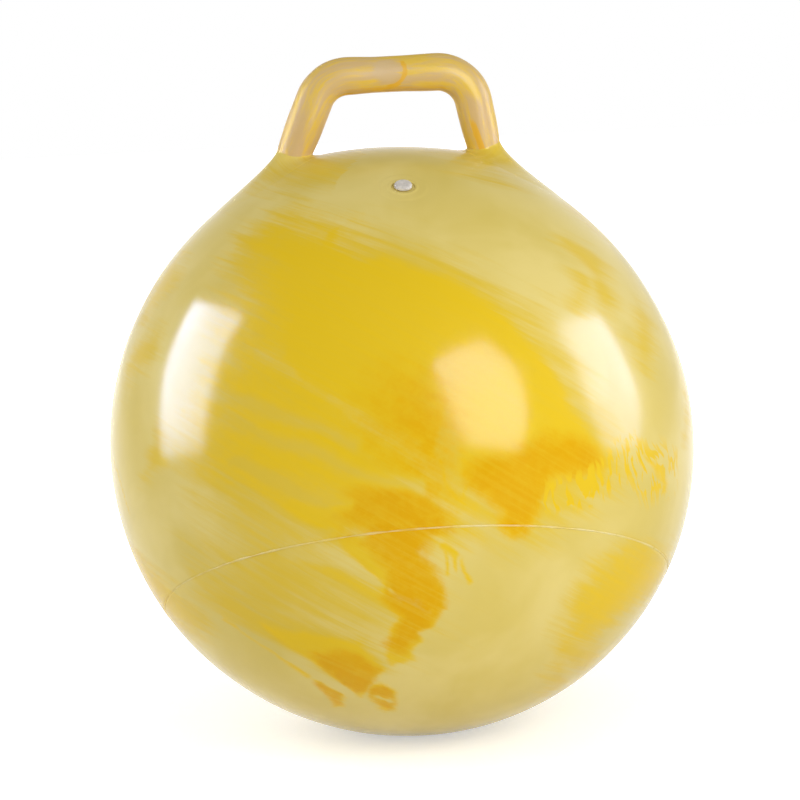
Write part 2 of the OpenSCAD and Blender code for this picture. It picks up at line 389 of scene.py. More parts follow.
def valve_boss(away, skin, valve):
    """Rise of the skin at a distance from the valve's axis.

    The swell is held down to the moulded size there, the flange lifts a low flat disc, and a
    small bell-shaped lip stands round the hole."""
    held_near, held_far = 10 * MM, 30 * MM
    disc_rise, disc_inside, disc_outside = 0.35 * MM, 2 * MM, 1.5 * MM
    lip_rise, lip_away, lip_width = 0.4 * MM, 1.4 * MM, 1.2 * MM
    held = -skin.swell * (1 - smooth_step(held_near, held_far, away))
    flange = valve.flange / 2
    disc = disc_rise * (1 - smooth_step(flange - disc_inside, flange + disc_outside, away))
    lip = lip_rise * np.exp(-(((away - valve.neck / 2 - lip_away) / lip_width) ** 2))
    return held + disc + lip


def upper_skin_grid(skin, valve):
    """The skin above the seam as a closed shell with the valve's hole through it.

    A point is given by a turn round the valve's axis and an angle away from it. The angle runs from
    the hole to where the seam's plane cuts that turn: the turn's own lean to the plane plus the
    angle whose cosine is the plane's distance over the radius. Inside rows run back a wall lower."""
    centre = ball_centre(skin)
    axis = valve_axis(valve)
    right, back = side_ways(axis)
    normal = seam_normal(skin)
    share = ring_turns(SKIN_COLUMNS)
    turn = share - FRONT_CROWDING * np.cos(share)
    side = np.cos(turn)[:, None] * right + np.sin(turn)[:, None] * back

    along, across = axis @ normal, side @ normal
    reach = np.hypot(along, across)
    radius = np.full(SKIN_COLUMNS, skin.diameter / 2)
    for _ in range(SEARCH_ROUNDS):
        edge = np.arctan2(across, along) + np.arccos(-skin.seam_drop / (radius * reach))
        radius = skin_radius(np.cos(edge)[:, None] * axis + np.sin(edge)[:, None] * side, skin)

    outside = skin.diameter / 2
    boss_margin = 5 * MM
    hole = np.full(SKIN_COLUMNS, valve.neck / 2 / outside)
    boss = np.full(SKIN_COLUMNS, (valve.flange / 2 + boss_margin) / outside)
    near = np.linspace(0, 1, BOSS_ROWS, endpoint=False)[:, None]
    far = np.linspace(0, 1, SKIN_ROWS)[:, None]
    inner = np.linspace(1, 0, INNER_ROWS)[:, None]
    angle = np.vstack(
        [hole + near * (boss - hole), boss + far * (edge - boss), hole + inner * (edge - hole)]
    )
    depth = np.repeat([0, skin.wall], [BOSS_ROWS + SKIN_ROWS, INNER_ROWS])[:, None]

    direction = np.cos(angle)[..., None] * axis + np.sin(angle)[..., None] * side
    radius = skin_radius(direction, skin) + valve_boss(angle * outside, skin, valve) - depth
    return centre + radius[..., None] * direction


def lower_skin_grid(skin):
    """The skin below the seam as a closed dish, and its two middle points.

    A point is given by a turn round the seam's normal, looking down, and an angle away from it, up
    to the angle whose cosine is the seam's distance over the radius. The floor flattens the
    outside, and the inside rows run back a wall lower."""
    centre = ball_centre(skin)
    axis = -seam_normal(skin)
    right, back = side_ways(axis)
    share = ring_turns(LOWER_COLUMNS)
    turn = share + FRONT_CROWDING * np.cos(share)
    side = np.cos(turn)[:, None] * right + np.sin(turn)[:, None] * back
    radius = np.full(LOWER_COLUMNS, skin.diameter / 2)
    for _ in range(SEARCH_ROUNDS):
        edge = np.arccos(skin.seam_drop / radius)
        radius = skin_radius(np.cos(edge)[:, None] * axis + np.sin(edge)[:, None] * side, skin)
    outer = (np.arange(LOWER_ROWS) + 1)[:, None] / LOWER_ROWS
    inner = np.linspace(1, 1 / INNER_ROWS, INNER_ROWS)[:, None]
    angle = np.vstack([outer * edge, inner * edge])
    depth = np.repeat([0, skin.wall], [LOWER_ROWS, INNER_ROWS])[:, None]
    direction = np.cos(angle)[..., None] * axis + np.sin(angle)[..., None] * side
    points = settle_on_floor(centre + skin_radius(direction, skin)[..., None] * direction)
    points = points - depth[..., None] * direction
    middle = centre + skin_radius(axis, skin) * axis
    return points, middle, middle - skin.wall * axis


def seam_bead_grid(skin):
    """The raised line on the seam: a flat oval section carried round the seam's circle.

    The circle lies where the skin's radius meets the seam's plane. The section's width swells and
    thins along the line, and its height falls off towards the back."""
    centre = ball_centre(skin)
    normal = seam_normal(skin)
    right, back = side_ways(normal)
    turn = ring_turns(SEAM_STEPS)
    side = np.cos(turn)[:, None] * right + np.sin(turn)[:, None] * back
    radius = np.full(SEAM_STEPS, skin.diameter / 2)
    for _ in range(SEARCH_ROUNDS):
        edge = np.arccos(-skin.seam_drop / radius)
        outward = np.cos(edge)[:, None] * normal + np.sin(edge)[:, None] * side
        radius = skin_radius(outward, skin)
    line = settle_on_floor(centre + radius[:, None] * outward)
    upward = unit(normal - (outward @ normal)[:, None] * outward)
    fade = BACK_SEAM + (1 - BACK_SEAM) * smooth_step(0.45, 0.85, -side[:, 1])
    wider = soft_waves(side, SEAM_WIDTH_WAVE, SEAM_WIDTH_SEED)
    width = skin.seam_width * (0.5 + 0.09 * wider) * (0.6 + 0.4 * fade)
    higher = soft_waves(side, SEAM_HEIGHT_WAVE, SEAM_HEIGHT_SEED)
    height = skin.seam_height * fade * (1 + 0.22 * higher)
    round_section = ring_turns(SEAM_SIDES)
    across = (width[:, None] * np.cos(round_section))[..., None] * upward[:, None]
    proud = (height[:, None] * np.sin(round_section))[..., None] * outward[:, None]
    return line[:, None] + across + proud


# Marbling of the vinyl

# Places are in degrees on the ball: round from the front to the right, then up from its middle.
# Each outline has the width over which its edge fades.
GOLD_PATCHES = (
    # Arch of dye across the front, with a crisp edge on its upper right
    (1.6, ((-21, 53), (-19, 47), (-16, 44), (-10, 44), (-5, 42), (0, 40), (8, 39), (13, 36),
           (17, 33), (20, 30), (23, 26), (25, 21), (27, 16), (29, 12), (31, 8), (33, 4), (34, 1),
           (33, -2), (28, 0), (24, 1), (21, 0), (20, -4), (19, -9), (15, -10), (11, -8), (9, -4),
           (6, 0), (5, 6), (3, 12), (1, 9), (0, 4), (-2, 4), (-5, 8), (-8, 10), (-12, 13),
           (-18, 16), (-25, 19), (-30, 24), (-30, 34), (-27, 44), (-25, 52))),
    # Soft left end of the arch
    (7, ((-48, 47), (-43, 53), (-36, 52), (-28, 52), (-20, 52), (-16, 44), (-16, 30), (-22, 19),
         (-30, 22), (-34, 27), (-36, 36), (-40, 43))),
    # Soft wash between the arch and the band over the seam
    (11, ((-36, 25), (-20, 21), (-6, 15), (0, 7), (2, -4), (-4, -8), (-18, -6), (-30, -2), (-40, 6),
          (-42, 16))),
    # Middle of the cloud on the lower right
    (6, ((40, -19), (50, -20), (62, -24), (54, -29), (44, -31), (36, -33), (34, -27))),
    # Dense end of the streaks over the seam
    (2, ((-26, 2), (-16, 2), (-10, 1), (-6, 3), (-3, 1), (0, -2), (1, -6), (0, -9), (-8, -9),
         (-16, -8), (-22, -6), (-28, -2))),
    # Two lobes under the seam
    (0.8, ((-18, -8), (-8, -8), (-2, -7), (-4, -11), (-2, -15), (0, -19), (1, -24), (-1, -26),
           (-3, -25), (-6, -22), (-9, -20), (-11, -18), (-14, -15), (-17, -12))),
    (0.8, ((-13, -19), (-9, -20), (-6, -22), (-3, -24), (0, -24), (-1, -27), (-4, -29), (-3, -31),
           (-5, -33), (-6, -36), (-10, -37), (-11, -35), (-9, -31), (-10, -28), (-9, -25),
           (-11, -22))),
    # Lower left lobe
    (1, ((-37, -27), (-30, -29), (-22, -30), (-15, -30), (-13, -34), (-12, -38), (-14, -41),
         (-17, -44), (-19, -47), (-21, -48), (-23, -46), (-25, -42), (-28, -38), (-31, -35),
         (-34, -31))),
    # Blob at its end and a small drop beside it
    (1, ((-18, -44), (-14, -43), (-11, -46), (-11, -50), (-13, -53), (-16, -54), (-18, -53),
         (-19, -48))),
    (0.9, ((-31, -41), (-28, -41), (-26, -44), (-25, -46), (-26, -49), (-28, -52), (-31, -52),
           (-30, -48), (-30, -44))),
)
DEEP_PATCHES = (
    # Thick dye at the foot of the arch
    (2, ((7, 3), (12, 5), (20, 7), (27, 8), (31, 5), (33, 0), (27, 0), (22, 1), (20, -4), (18, -10),
         (13, -9), (9, -4), (6, 0))),
    # Soft tongue inside the arch
    (9, ((-9, 12), (-5, 18), (0, 18), (2, 9), (0, 3), (-3, 4))),
    # Band over the seam and the lobes under it
    (4, ((-17, -1), (-8, 2), (-2, 1), (0, -4), (-5, -8), (-15, -7))),
    (1.4, ((-6, -5), (-3, -3), (0, -5), (1, -8), (-3, -9), (-2, -15), (0, -19), (1, -24), (-3, -28),
           (-7, -34), (-10, -31), (-8, -25), (-11, -21), (-9, -15), (-14, -10), (-12, -6))),
    # Lower left lobe, the edge of its blob and the drop
    (1.2, ((-30, -34), (-22, -33), (-16, -33), (-13, -38), (-15, -42), (-19, -46), (-22, -46),
           (-25, -41))),
    (1, ((-18, -45), (-14, -44), (-12, -47), (-12, -51), (-15, -53), (-18, -51))),
    (1.2, ((-31, -42), (-28, -42), (-26, -46), (-28, -51), (-30, -51), (-30, -46))),
)
VEIL_PATCHES = (
    # Streaks over the left half
    (7, ((-42, 34), (-38, 27), (-28, 24), (-16, 20), (-5, 12), (0, 4), (1, -8), (-10, -10),
         (-20, -10), (-30, -9), (-38, -5), (-45, 1), (-47, 8), (-42, 14), (-41, 24))),
    # Thin dye below the seam
    (14, ((-40, -16), (-32, -12), (-22, -10), (-13, -14), (-11, -20), (-14, -26), (-24, -24),
          (-34, -20))),
    # Thin dye round the lower left lobe
    (3.5, ((-52, -19), (-44, -20), (-34, -25), (-22, -28), (-14, -29), (-11, -34), (-14, -39),
           (-24, -39), (-34, -33), (-44, -26))),
    # Cloud on the lower right
    (4.5, ((36, -18), (42, -16), (50, -18), (60, -21), (74, -28), (66, -32), (54, -31), (46, -33),
           (42, -38), (37, -37), (33, -34), (30, -30), (31, -25))),
    # Faint dye round the whole arch
    (6, ((-52, 50), (-40, 54), (-18, 50), (10, 42), (24, 30), (32, 12), (37, 0), (30, -5),
         (16, -10), (4, -4), (-20, 14), (-40, 32))),
    # Dye that ran down from the loop's right root
    (8, ((50, 66), (64, 68), (82, 67), (96, 69), (92, 74), (66, 75), (54, 70))),
)
# Strokes are places with their half widths
GOLD_STROKES = (
    (3, ((-44, 8, 0), (-34, 5, 0.6), (-24, 2, 1.6), (-14, 0, 2.6), (-6, -2, 3))),
    (3, ((-38, 1, 0), (-28, -1, 0.8), (-18, -3, 2), (-8, -5, 3))),
    (2.5, ((-32, 9, 0), (-22, 6, 0.6), (-12, 3, 1.2), (-6, 1, 1.6))),
    (1.6, ((-27, -12, 0), (-19, -15, 0.7), (-13, -18, 1.2), (-10, -20, 2))),
    (0.6, ((0, -11, 0.9), (2, -13, 0.8), (3, -16, 0.3))),
    (0.6, ((4, -14, 0.3), (7, -18, 0.6))),
    (0.5, ((0, -12, 0.3), (1, -17, 0.3))),
    (0.5, ((1, 4, 0.4), (3, -1, 0.4), (4, -4, 0.3))),
    (0.5, ((6, 0, 0.3), (4, -3, 0.3))),
    (1, ((-46, -28, 0.3), (-38, -35, 0.6), (-32, -40, 0.8))),
    (0.8, ((46, 3, 0.3), (50, -2, 0.5), (54, -7, 0.7))),
)
VEIL_STROKES = (
    (4, ((46, 43, 1), (51, 38, 3), (48, 32, 2))),
    (4, ((35, 31, 0.5), (42, 36, 1.5))),
    (3, ((-57, 9, 1), (-58, 5, 1.6), (-62, 1, 0.8))),
    (4, ((-76, 20, 2), (-68, 24, 2))),
    (4, ((36, -37, 1), (45, -42, 1.4), (53, -48, 0.5))),
    (4, ((36, -42, 0.8), (43, -51, 1.2))),
)
# Bare streaks that part the dye
BARE_STROKES = (
    (1.2, ((-9, -19, 0.2), (-5, -22, 0.4), (-2, -24, 0))),
    (1.8, ((-28, -11, 0.2), (-18, -14, 0.7), (-12, -18, 0.3))),
    (2, ((-44, 18, 0.3), (-30, 14, 0.9), (-14, 9, 0.2))),
    (2, ((-40, 13, 0.3), (-24, 8, 0.9), (-3, 1, 0.3))),
    (2, ((-38, 5, 0.3), (-26, 2, 0.8), (-14, -2, 0.2))),
    (2, ((-46, 0, 0.4), (-32, -3, 1), (-19, -6, 0.2))),
    (1.4, ((-42, -30, 0.4), (-32, -37, 0.8), (-26, -42, 0.8), (-24, -46, 0.6))),
    (1, ((-16, -48, 0.6), (-14, -50, 0.8))),
)
# Where short marks hang down beside the foot of the arch
FLECK_PATCHES = (
    (1.6, ((20, 0), (24, 1), (34, 2), (36, 4), (40, 5), (46, 5), (47, 1), (44, -3), (38, -4),
           (34, -6), (30, -7), (24, -6), (20, -5))),
    (3, ((44, 4), (52, 2), (60, -2), (58, -8), (48, -8), (42, -4))),
)
# Turns round the axis at which the front's marbling is met, first in front, then on the unseen side
MARBLING_TURNS = (0, 128, 232)
# Degrees to either side of such a turn that its marbling reaches
MARBLING_REACH = 100
# Levels of dye stay between this and its negative
LEVEL_LIMIT = 6.0
# Each dye: its level, outlines, strokes and how far a bare streak lowers it
DYE_LAYERS = (
    ("gold_level", GOLD_PATCHES, GOLD_STROKES, 2.4),
    ("deep_level", DEEP_PATCHES, (), 2.4),
    ("veil_level", VEIL_PATCHES, VEIL_STROKES, 0.5),
)
# Waves that push outlines sideways and up: degrees, wavelength on a ball of radius 1 and seed
SIDE_WAVES = ((0.9, 0.34, 21), (0.2, 0.11, 22))
UP_WAVES = ((0.6, 0.34, 23), (0.15, 0.10, 24))
# Degrees that the streaks fall and the turn of their highest place, counted to the left
STREAM_FALL, STREAM_TURN = 38, 82
# Streaks to a unit of the flow, round the ball and across the stream
FLOW_PACE, STREAM_PACE = 2.3, 0.35
# Lean of the short hanging marks, and how far they are drawn out downwards
TICK_LEAN, TICK_STRETCH = 0.35, 0.3


def edge_distances(ahead, up, ends, starts, shrink):
    """Distances from points to straight edges, and how far along each edge the nearest place is.

    The edges' starts, seen from the points, and their runs are returned too."""
    near = np.stack([(starts[:, 0, None] - ahead) * shrink, starts[:, 1, None] - up])
    run = np.stack([(ends - starts)[:, 0, None] * shrink, (ends - starts)[:, 1, None] + 0 * up])
    share = np.clip(-(near * run).sum(axis=0) / (run * run).sum(axis=0), 0, 1)
    return np.hypot(*(near + share * run)), share, near, run


def patch_level(ahead, up, patch):
    """Depth inside an outline over its fading width: above 0 inside, below 0 outside.

    The depth is the distance to the nearest edge, with the sign from how many edges a level line
    from the point crosses. Sideways degrees shrink with the cosine of the height."""
    fade, outline = patch
    starts = np.array(outline, float)
    ends = np.roll(starts, -1, axis=0)
    shrink = np.cos(np.radians(up))
    away, _, near, run = edge_distances(ahead, up, ends, starts, shrink)
    spans = (near[1] > 0) != (near[1] + run[1] > 0)
    meets = near[0] - near[1] * run[0] / np.where(run[1] == 0, 1, run[1]) > 0
    inside = (spans & meets).sum(axis=0) % 2 == 1
    return np.where(inside, 1, -1) * away.min(axis=0) / fade


def stroke_level(ahead, up, stroke):
    """Depth inside a brush stroke over its fading width: its half width less the distance to it."""
    fade, places = stroke
    line = np.array(places, float)
    shrink = np.cos(np.radians(up))
    away, share, _, _ = edge_distances(ahead, up, line[1:, :2], line[:-1, :2], shrink)
    half = line[:-1, 2, None] + share * np.diff(line[:, 2])[:, None]
    return (half - away).max(axis=0) / fade


def top_level(ahead, up, patches, strokes=()):
    """The highest level of any patch or stroke at each point, held within a fixed range."""
    levels = [patch_level(ahead, up, patch) for patch in patches]
    levels += [stroke_level(ahead, up, stroke) for stroke in strokes]
    return np.clip(np.max(levels, axis=0), -LEVEL_LIMIT, LEVEL_LIMIT)


def wrapped(degrees):
    """Degrees brought to the range from -180 to 180."""
    return (degrees + 180) % 360 - 180


def wave_sum(direction, waves):
    """Soft waves of several heights and lengths, added up."""
    return sum(height * soft_waves(direction, length, seed) for height, length, seed in waves)


def met_again(ahead, up, patches, strokes):
    """The level of a dye where its outlines and strokes are met at each of the marbling's turns."""
    level = np.full(len(up), -LEVEL_LIMIT)
    for turn in MARBLING_TURNS:
        place = wrapped(ahead - turn)
        found = top_level(place, up, patches, strokes)
        level = np.maximum(level, np.where(np.abs(place) < MARBLING_REACH, found, -LEVEL_LIMIT))
    return level


def marbling(points, skin):
    """Dye levels and flow of the marbling at points of the skin.

    The places are found as degrees round and up, and pushed about by soft waves so that no outline
    is smooth. The flow holds the two level shares of the direction and a stream value, the height
    less a cosine of the way round, which is the same all along a streak. The ticks are the places
    turned for short marks that hang down."""
    direction = unit(points - ball_centre(skin))
    ahead = np.degrees(np.arctan2(direction[:, 0], -direction[:, 1]))
    up = np.degrees(np.arcsin(np.clip(direction[:, 2], -1, 1)))
    shrink = np.cos(np.radians(up))
    stream = up - STREAM_FALL * shrink * np.cos(np.radians(ahead + STREAM_TURN))
    ahead, up = ahead + wave_sum(direction, SIDE_WAVES), up + wave_sum(direction, UP_WAVES)
    bare = smooth_step(-1, 1, top_level(wrapped(ahead), up, (), BARE_STROKES))
    fields = {}
    for name, patches, strokes, parted in DYE_LAYERS:
        fields[name] = met_again(ahead, up, patches, strokes) - parted * bare
    fields["fleck_level"] = top_level(wrapped(ahead), up, FLECK_PATCHES)
    fields["flow"] = np.column_stack([FLOW_PACE * direction[:, :2], STREAM_PACE * stream])
    fields["ticks"] = np.column_stack([ahead + TICK_LEAN * up, TICK_STRETCH * up, 0 * up])
    return fields


# The hand loop and its roots

# The tube thins to the bar between these distances from a foot
BAR_START, BAR_FULL = 90 * MM, 115 * MM
# Share by which the tube is thinner along the bar and at a foot, and the reach of the latter
BAR_THINNING, FOOT_THINNING, FOOT_REACH = 0.05, 0.14, 24 * MM
# Share of the tube's waves, their length and their seed
TUBE_WAVINESS, TUBE_WAVE, TUBE_WAVE_SEED = 0.006, 40 * MM, 31
# Share of the tube's radius at which a root starts, inside the leg
ROOT_START = 0.88
# A root's height over the skin, how far its thin edge sinks, and the depth of its underside
ROOT_PROUD, ROOT_SINK, ROOT_DEPTH = 0.1 * MM, 0.5 * MM, 0.8 * MM


def leg_lines(skin, loop):
    """Each leg's side, root on the moulded skin, upward direction and lean, left leg first."""
    legs = []
    left = (-1, loop.left_root, loop.left_lean)
    right = (1, loop.right_root, loop.right_lean)
    for side, away, lean in (left, right):
        from_top = math.asin(away / (skin.diameter / 2 + skin.crown_lift))
        radius = float(moulded_radius(from_top, skin))
        root = np.array([side * away, 0, math.sqrt(radius**2 - away**2)])
        legs.append((side, root, np.array([-side * math.sin(lean), 0, math.cos(lean)]), lean))
    return legs


def loop_path(skin, loop):
    """Middle line of the hand loop in the XZ plane: up the left leg, over the bar, down the right leg.

    The legs and the bar are straight, and each bend is an arc that touches both."""
    bar = skin.diameter / 2 + skin.crown_lift + loop.hand_gap + loop.tube / 2
    halves = []
    for side, root, upward, lean in leg_lines(skin, loop):
        corner = root + upward * (bar - root[2]) / upward[2]
        run = loop.bend_radius * math.tan((math.pi / 2 - lean) / 2)
        middle = np.array([corner[0] - side * run, 0, bar - loop.bend_radius])
        foot = root - loop.leg_tail * upward
        leg = np.linspace(foot, corner - run * upward, LEG_STEPS, endpoint=False)
        turn = np.linspace(lean, math.pi / 2, BEND_STEPS)
        arc = np.column_stack([side * np.cos(turn), 0 * turn, np.sin(turn)])
        halves.append(np.vstack([leg, middle + loop.bend_radius * arc]))
    left, right = halves
    bar_line = np.linspace(left[-1], right[-1], BAR_STEPS + 2)[1:-1]
    return ball_centre(skin) + np.vstack([left, bar_line, right[::-1]])


def hand_loop_grid(skin, loop):
    """The hollow loop: a round section carried along the loop's middle line, then back as its bore.

    The radius is fuller at the bends than along the bar, and thinner at the feet, with soft waves.
    The grain holds the turn round the tube and the length along it, for streaks that follow it."""
    path = loop_path(skin, loop)
    steps = np.linalg.norm(np.diff(path, axis=0), axis=1)
    length = np.concatenate([[0], np.cumsum(steps)])
    along = unit(np.gradient(path, length, axis=0))
    outward = np.column_stack([-along[:, 2], 0 * length, along[:, 0]])
    turn = ring_turns(LOOP_SIDES)
    foot = np.minimum(length, length[-1] - length) - loop.leg_tail
    bar = smooth_step(BAR_START, BAR_FULL, foot)
    fullness = 1 - BAR_THINNING * bar - FOOT_THINNING * np.exp(-((foot / FOOT_REACH) ** 2))
    ring = np.cos(turn)[:, None] * outward[:, None] + np.sin(turn)[:, None] * np.array([0.0, 1.0, 0.0])
    waves = soft_waves(path[:, None] + loop.tube * ring, TUBE_WAVE, TUBE_WAVE_SEED)
    radius = loop.tube / 2 * fullness[:, None] * (1 + TUBE_WAVINESS * waves)
    outer = path[:, None] + radius[..., None] * ring
    inner = path[:, None] + (radius - loop.tube_wall)[..., None] * ring
    level = np.broadcast_to(length[:, None], radius.shape) - length[-1] / 2
    grain = np.stack([np.cos(turn) + 0 * level, np.sin(turn) + 0 * level, level / loop.tube], axis=-1)
    # The first share is thick dye together with painted shade under the bar and in the crease at each
    # foot
    dye, pale = loop_marks_and_shade(turn, level, np.broadcast_to(foot[:, None], radius.shape), loop)
    fields = {"grain": grain, "dye_and_shade_level": dye, "pale_level": pale}
    for name, value in fields.items():
        both = np.concatenate([value, value[::-1]])
        fields[name] = both.reshape(-1, *value.shape[2:])
    return np.concatenate([outer, inner[::-1]]), fields


def loop_marks_and_shade(turn, level, foot, loop):
    """Shares of thick dye with painted shade, and of bare vinyl on the loop.

    Places are millimetres along the tube from its middle and round it from its front. A pale round
    spot sits on the bar, an arc of dye runs round its right side and a streak of dye runs low on the
    right leg. Painted shade in the thick dye's colour lies under the bar and in the crease at each
    foot."""
    around = wrapped(np.degrees(turn) + 90) * math.pi / 180 * loop.tube / 2 / MM + 0 * level
    along = level / MM
    spot_along, spot_around, arc_radius = -2, 3, 13.5
    from_spot = np.hypot(along - spot_along, around - spot_around)
    bearing = np.degrees(np.arctan2(around - spot_around, along - spot_along))
    pale = 0.45 * (1 - smooth_step(5, 13, from_spot))
    arc = 1 - smooth_step(0.8, 3, np.abs(from_spot - arc_radius))
    arc = arc * smooth_step(-100, -70, bearing) * (1 - smooth_step(25, 50, bearing))
    # Painted shade on the lower front of the bar, in the thick dye's colour
    under = 1 - smooth_step(2, 8, np.abs(around + 15))
    under = 0.6 * under * (1 - smooth_step(35, 62, np.abs(along)))
    # Painted shade in the crease where each foot meets the skin
    crease = 1 - smooth_step(1, 7, np.abs(foot / MM - 1))
    streak = 1 - smooth_step(1.5, 4, np.abs(around + 4 - 0.1 * (along - 110)))
    streak = streak * smooth_step(80, 100, along)
    return np.clip(arc + under + 0.8 * crease + streak, 0, 1), pale


def leg_meets_skin(leg, turn, radius, height, skin):
    """Points where straight lines on the side of a leg meet a height over the skin.

    Each line is followed from the root by Newton's steps: the height still missing over the slope
    of the line to the skin. Returns the points and the directions out from the leg."""
    side, root, upward, lean = leg
    outer = np.array([side * math.cos(lean), 0, math.sin(lean)])
    away = np.cos(turn)[:, None] * outer + np.sin(turn)[:, None] * np.array([0.0, 1.0, 0.0])
    climb = np.zeros(len(turn))
    for _ in range(SEARCH_ROUNDS):
        points = root + radius * away + climb[:, None] * upward
        span = np.linalg.norm(points, axis=1)
        missing = span - skin_radius(points / span[:, None], skin) - height
        climb = climb - missing * span / (points @ upward)
    return root + radius * away + climb[:, None] * upward, away


def root_grid(leg, skin, loop):
    """A flared root: skin drawn up round a leg, closed underneath.

    A line of it starts on the leg and runs off over the skin with the square of its share, while
    its rise up the leg dies off with the square of what is left. Rise and run are largest on the
    outer side and fall to the tight crease inside with the squared half cosine of the turn. The
    thin edge sinks into the skin, and the underside lies just below the skin."""
    turn = ring_turns(ROOT_SIDES)
    crease, away = leg_meets_skin(leg, turn, loop.tube / 2 * ROOT_START, ROOT_PROUD, skin)
    upright = unit(crease)
    along = unit(away - (away * upright).sum(axis=1, keepdims=True) * upright)
    outer = (0.5 + 0.5 * np.cos(turn)) ** 2
    reach = loop.crease_reach + (loop.flare_reach - loop.crease_reach) * outer
    rise = loop.crease_rise + (loop.flare_rise - loop.crease_rise) * outer
    share = np.linspace(0, 1, ROOT_ROWS)[:, None]
    direction = unit(crease + (reach * share**2)[..., None] * along)
    sunk = ROOT_PROUD - ROOT_SINK * smooth_step(0.82, 1, share)
    skin_line = (skin_radius(direction, skin) + sunk)[..., None] * direction
    top = skin_line + (rise * (1 - share) ** 2)[..., None] * leg[2]
    under = skin_line - ROOT_DEPTH * direction
    return ball_centre(skin) + np.concatenate([top, under[::-1]])


# The air valve


def turned_profile(profile, foot, axis):
    """A profile of radius and height turned round an axis that starts at a foot point."""
    right, back = side_ways(axis)
    turn = ring_turns(LATHE_SIDES)
    ring = np.cos(turn)[:, None] * right + np.sin(turn)[:, None] * back
    radius, height = np.array(profile).T
    return foot + radius[:, None, None] * ring + height[:, None, None] * axis


def valve_foot(skin, valve):
    """Where the valve's axis leaves the moulded skin."""
    return ball_centre(skin) + float(moulded_radius(valve.angle, skin)) * valve_axis(valve)


def rounded_corners(profile, radius):
    """Cuts each corner of an open profile back to two points, so that smooth shading keeps it crisp."""
    profile = np.array(profile)
    before, corner, after = profile[:-2], profile[1:-1], profile[2:]
    back = np.minimum(radius / np.linalg.norm(before - corner, axis=1), 0.4)[:, None]
    on = np.minimum(radius / np.linalg.norm(after - corner, axis=1), 0.4)[:, None]
    pairs = np.stack([corner + back * (before - corner), corner + on * (after - corner)], axis=1)
    return np.vstack([profile[:1], pairs.reshape(-1, 2), profile[-1:]])


def valve_seat_grid(skin, valve):
    """The seat: a flange that follows the skin from below, and a bored sleeve through the hole.

    The flange's height at a radius is the sphere's fall, the radius squared over the ball's
    diameter. The sleeve's rim lies a little below the skin and is rounded into the bore."""
    bore = valve.stem / 2 + valve.bore_gap
    neck = valve.neck / 2
    flange = valve.flange / 2
    fall = flange**2 / skin.diameter
    skin_gap, hole_gap = 0.1 * MM, 0.05 * MM
    mouth, mouth_depth = 0.5 * MM, 0.6 * MM
    lip_inside, lip_top, lip_rise, lip_edge = 0.9 * MM, 0.3 * MM, 0.2 * MM, 0.1 * MM
    corner = 0.15 * MM
    top = -skin.wall - skin_gap
    rim = -0.3 * MM
    profile = [
        (bore, rim - mouth_depth),
        (bore + mouth, rim),
        (neck - lip_inside, rim),
        (neck - lip_top, rim + lip_rise),
        (neck - hole_gap, rim + lip_edge),
        (neck - hole_gap, top),
        (flange, top - fall),
        (flange, top - fall - valve.flange_thick),
        (neck, top - valve.flange_thick),
        (neck, -valve.neck_depth),
        (bore, -valve.neck_depth),
    ]
    profile = rounded_corners(profile, corner)
    return turned_profile(profile, valve_foot(skin, valve), valve_axis(valve))


def air_plug_grid(skin, valve):
    """The plug: a head with a rounded rim and a dimple, and a stem with two grooves and a taper.

    The dimple is a raised cosine, and the rim is a quarter circle. Returns the turned rows and the
    two middle points."""
    head, high = valve.head / 2, valve.head_height
    stem, long = valve.stem / 2, valve.stem_length
    curve = 2.2 * MM
    dimple, sink = 1.7 * MM, 0.7 * MM
    in_dimple = np.linspace(0, 1, 13)[1:] * dimple
    sunk = sink * (0.5 + 0.5 * np.cos(math.pi * in_dimple / dimple))
    bowl = np.column_stack([in_dimple, high - sunk])
    face = np.column_stack([np.linspace(dimple, head - curve, 8)[1:-1], np.full(6, high)])
    bend = np.linspace(math.pi / 2, 0, 9)
    rim = np.column_stack([head - curve + curve * np.cos(bend), high - curve + curve * np.sin(bend)])
    groove, cut = 1 * MM, 0.6 * MM
    groove_shares = (0.3, 0.6)
    brim, taper, tip, tip_middle, corner = 0.2 * MM, 3 * MM, 2.5 * MM, 0.4 * MM, 0.12 * MM
    under = [(head, high - curve - brim), (head, 0), (stem, 0)]
    for share in groove_shares:
        middle = -share * long
        under += [(stem, middle + groove), (stem - cut, middle + groove), (stem - cut, middle - groove)]
        under += [(stem, middle - groove)]
    under += [(stem, taper - long), (tip, -long), (tip_middle, -long)]
    profile = np.vstack([bowl, face, rim, rounded_corners(under, corner)])
    axis = valve_axis(valve)
    foot = valve_foot(skin, valve) + valve.head_gap * axis
    return turned_profile(profile, foot, axis), foot + (high - sink) * axis, foot - long * axis


# Finishes

# Shader's mirror level of vinyl and plastic, and that of paint and cloth
VINYL_MIRROR, PAINT_MIRROR = 0.08, 0.1


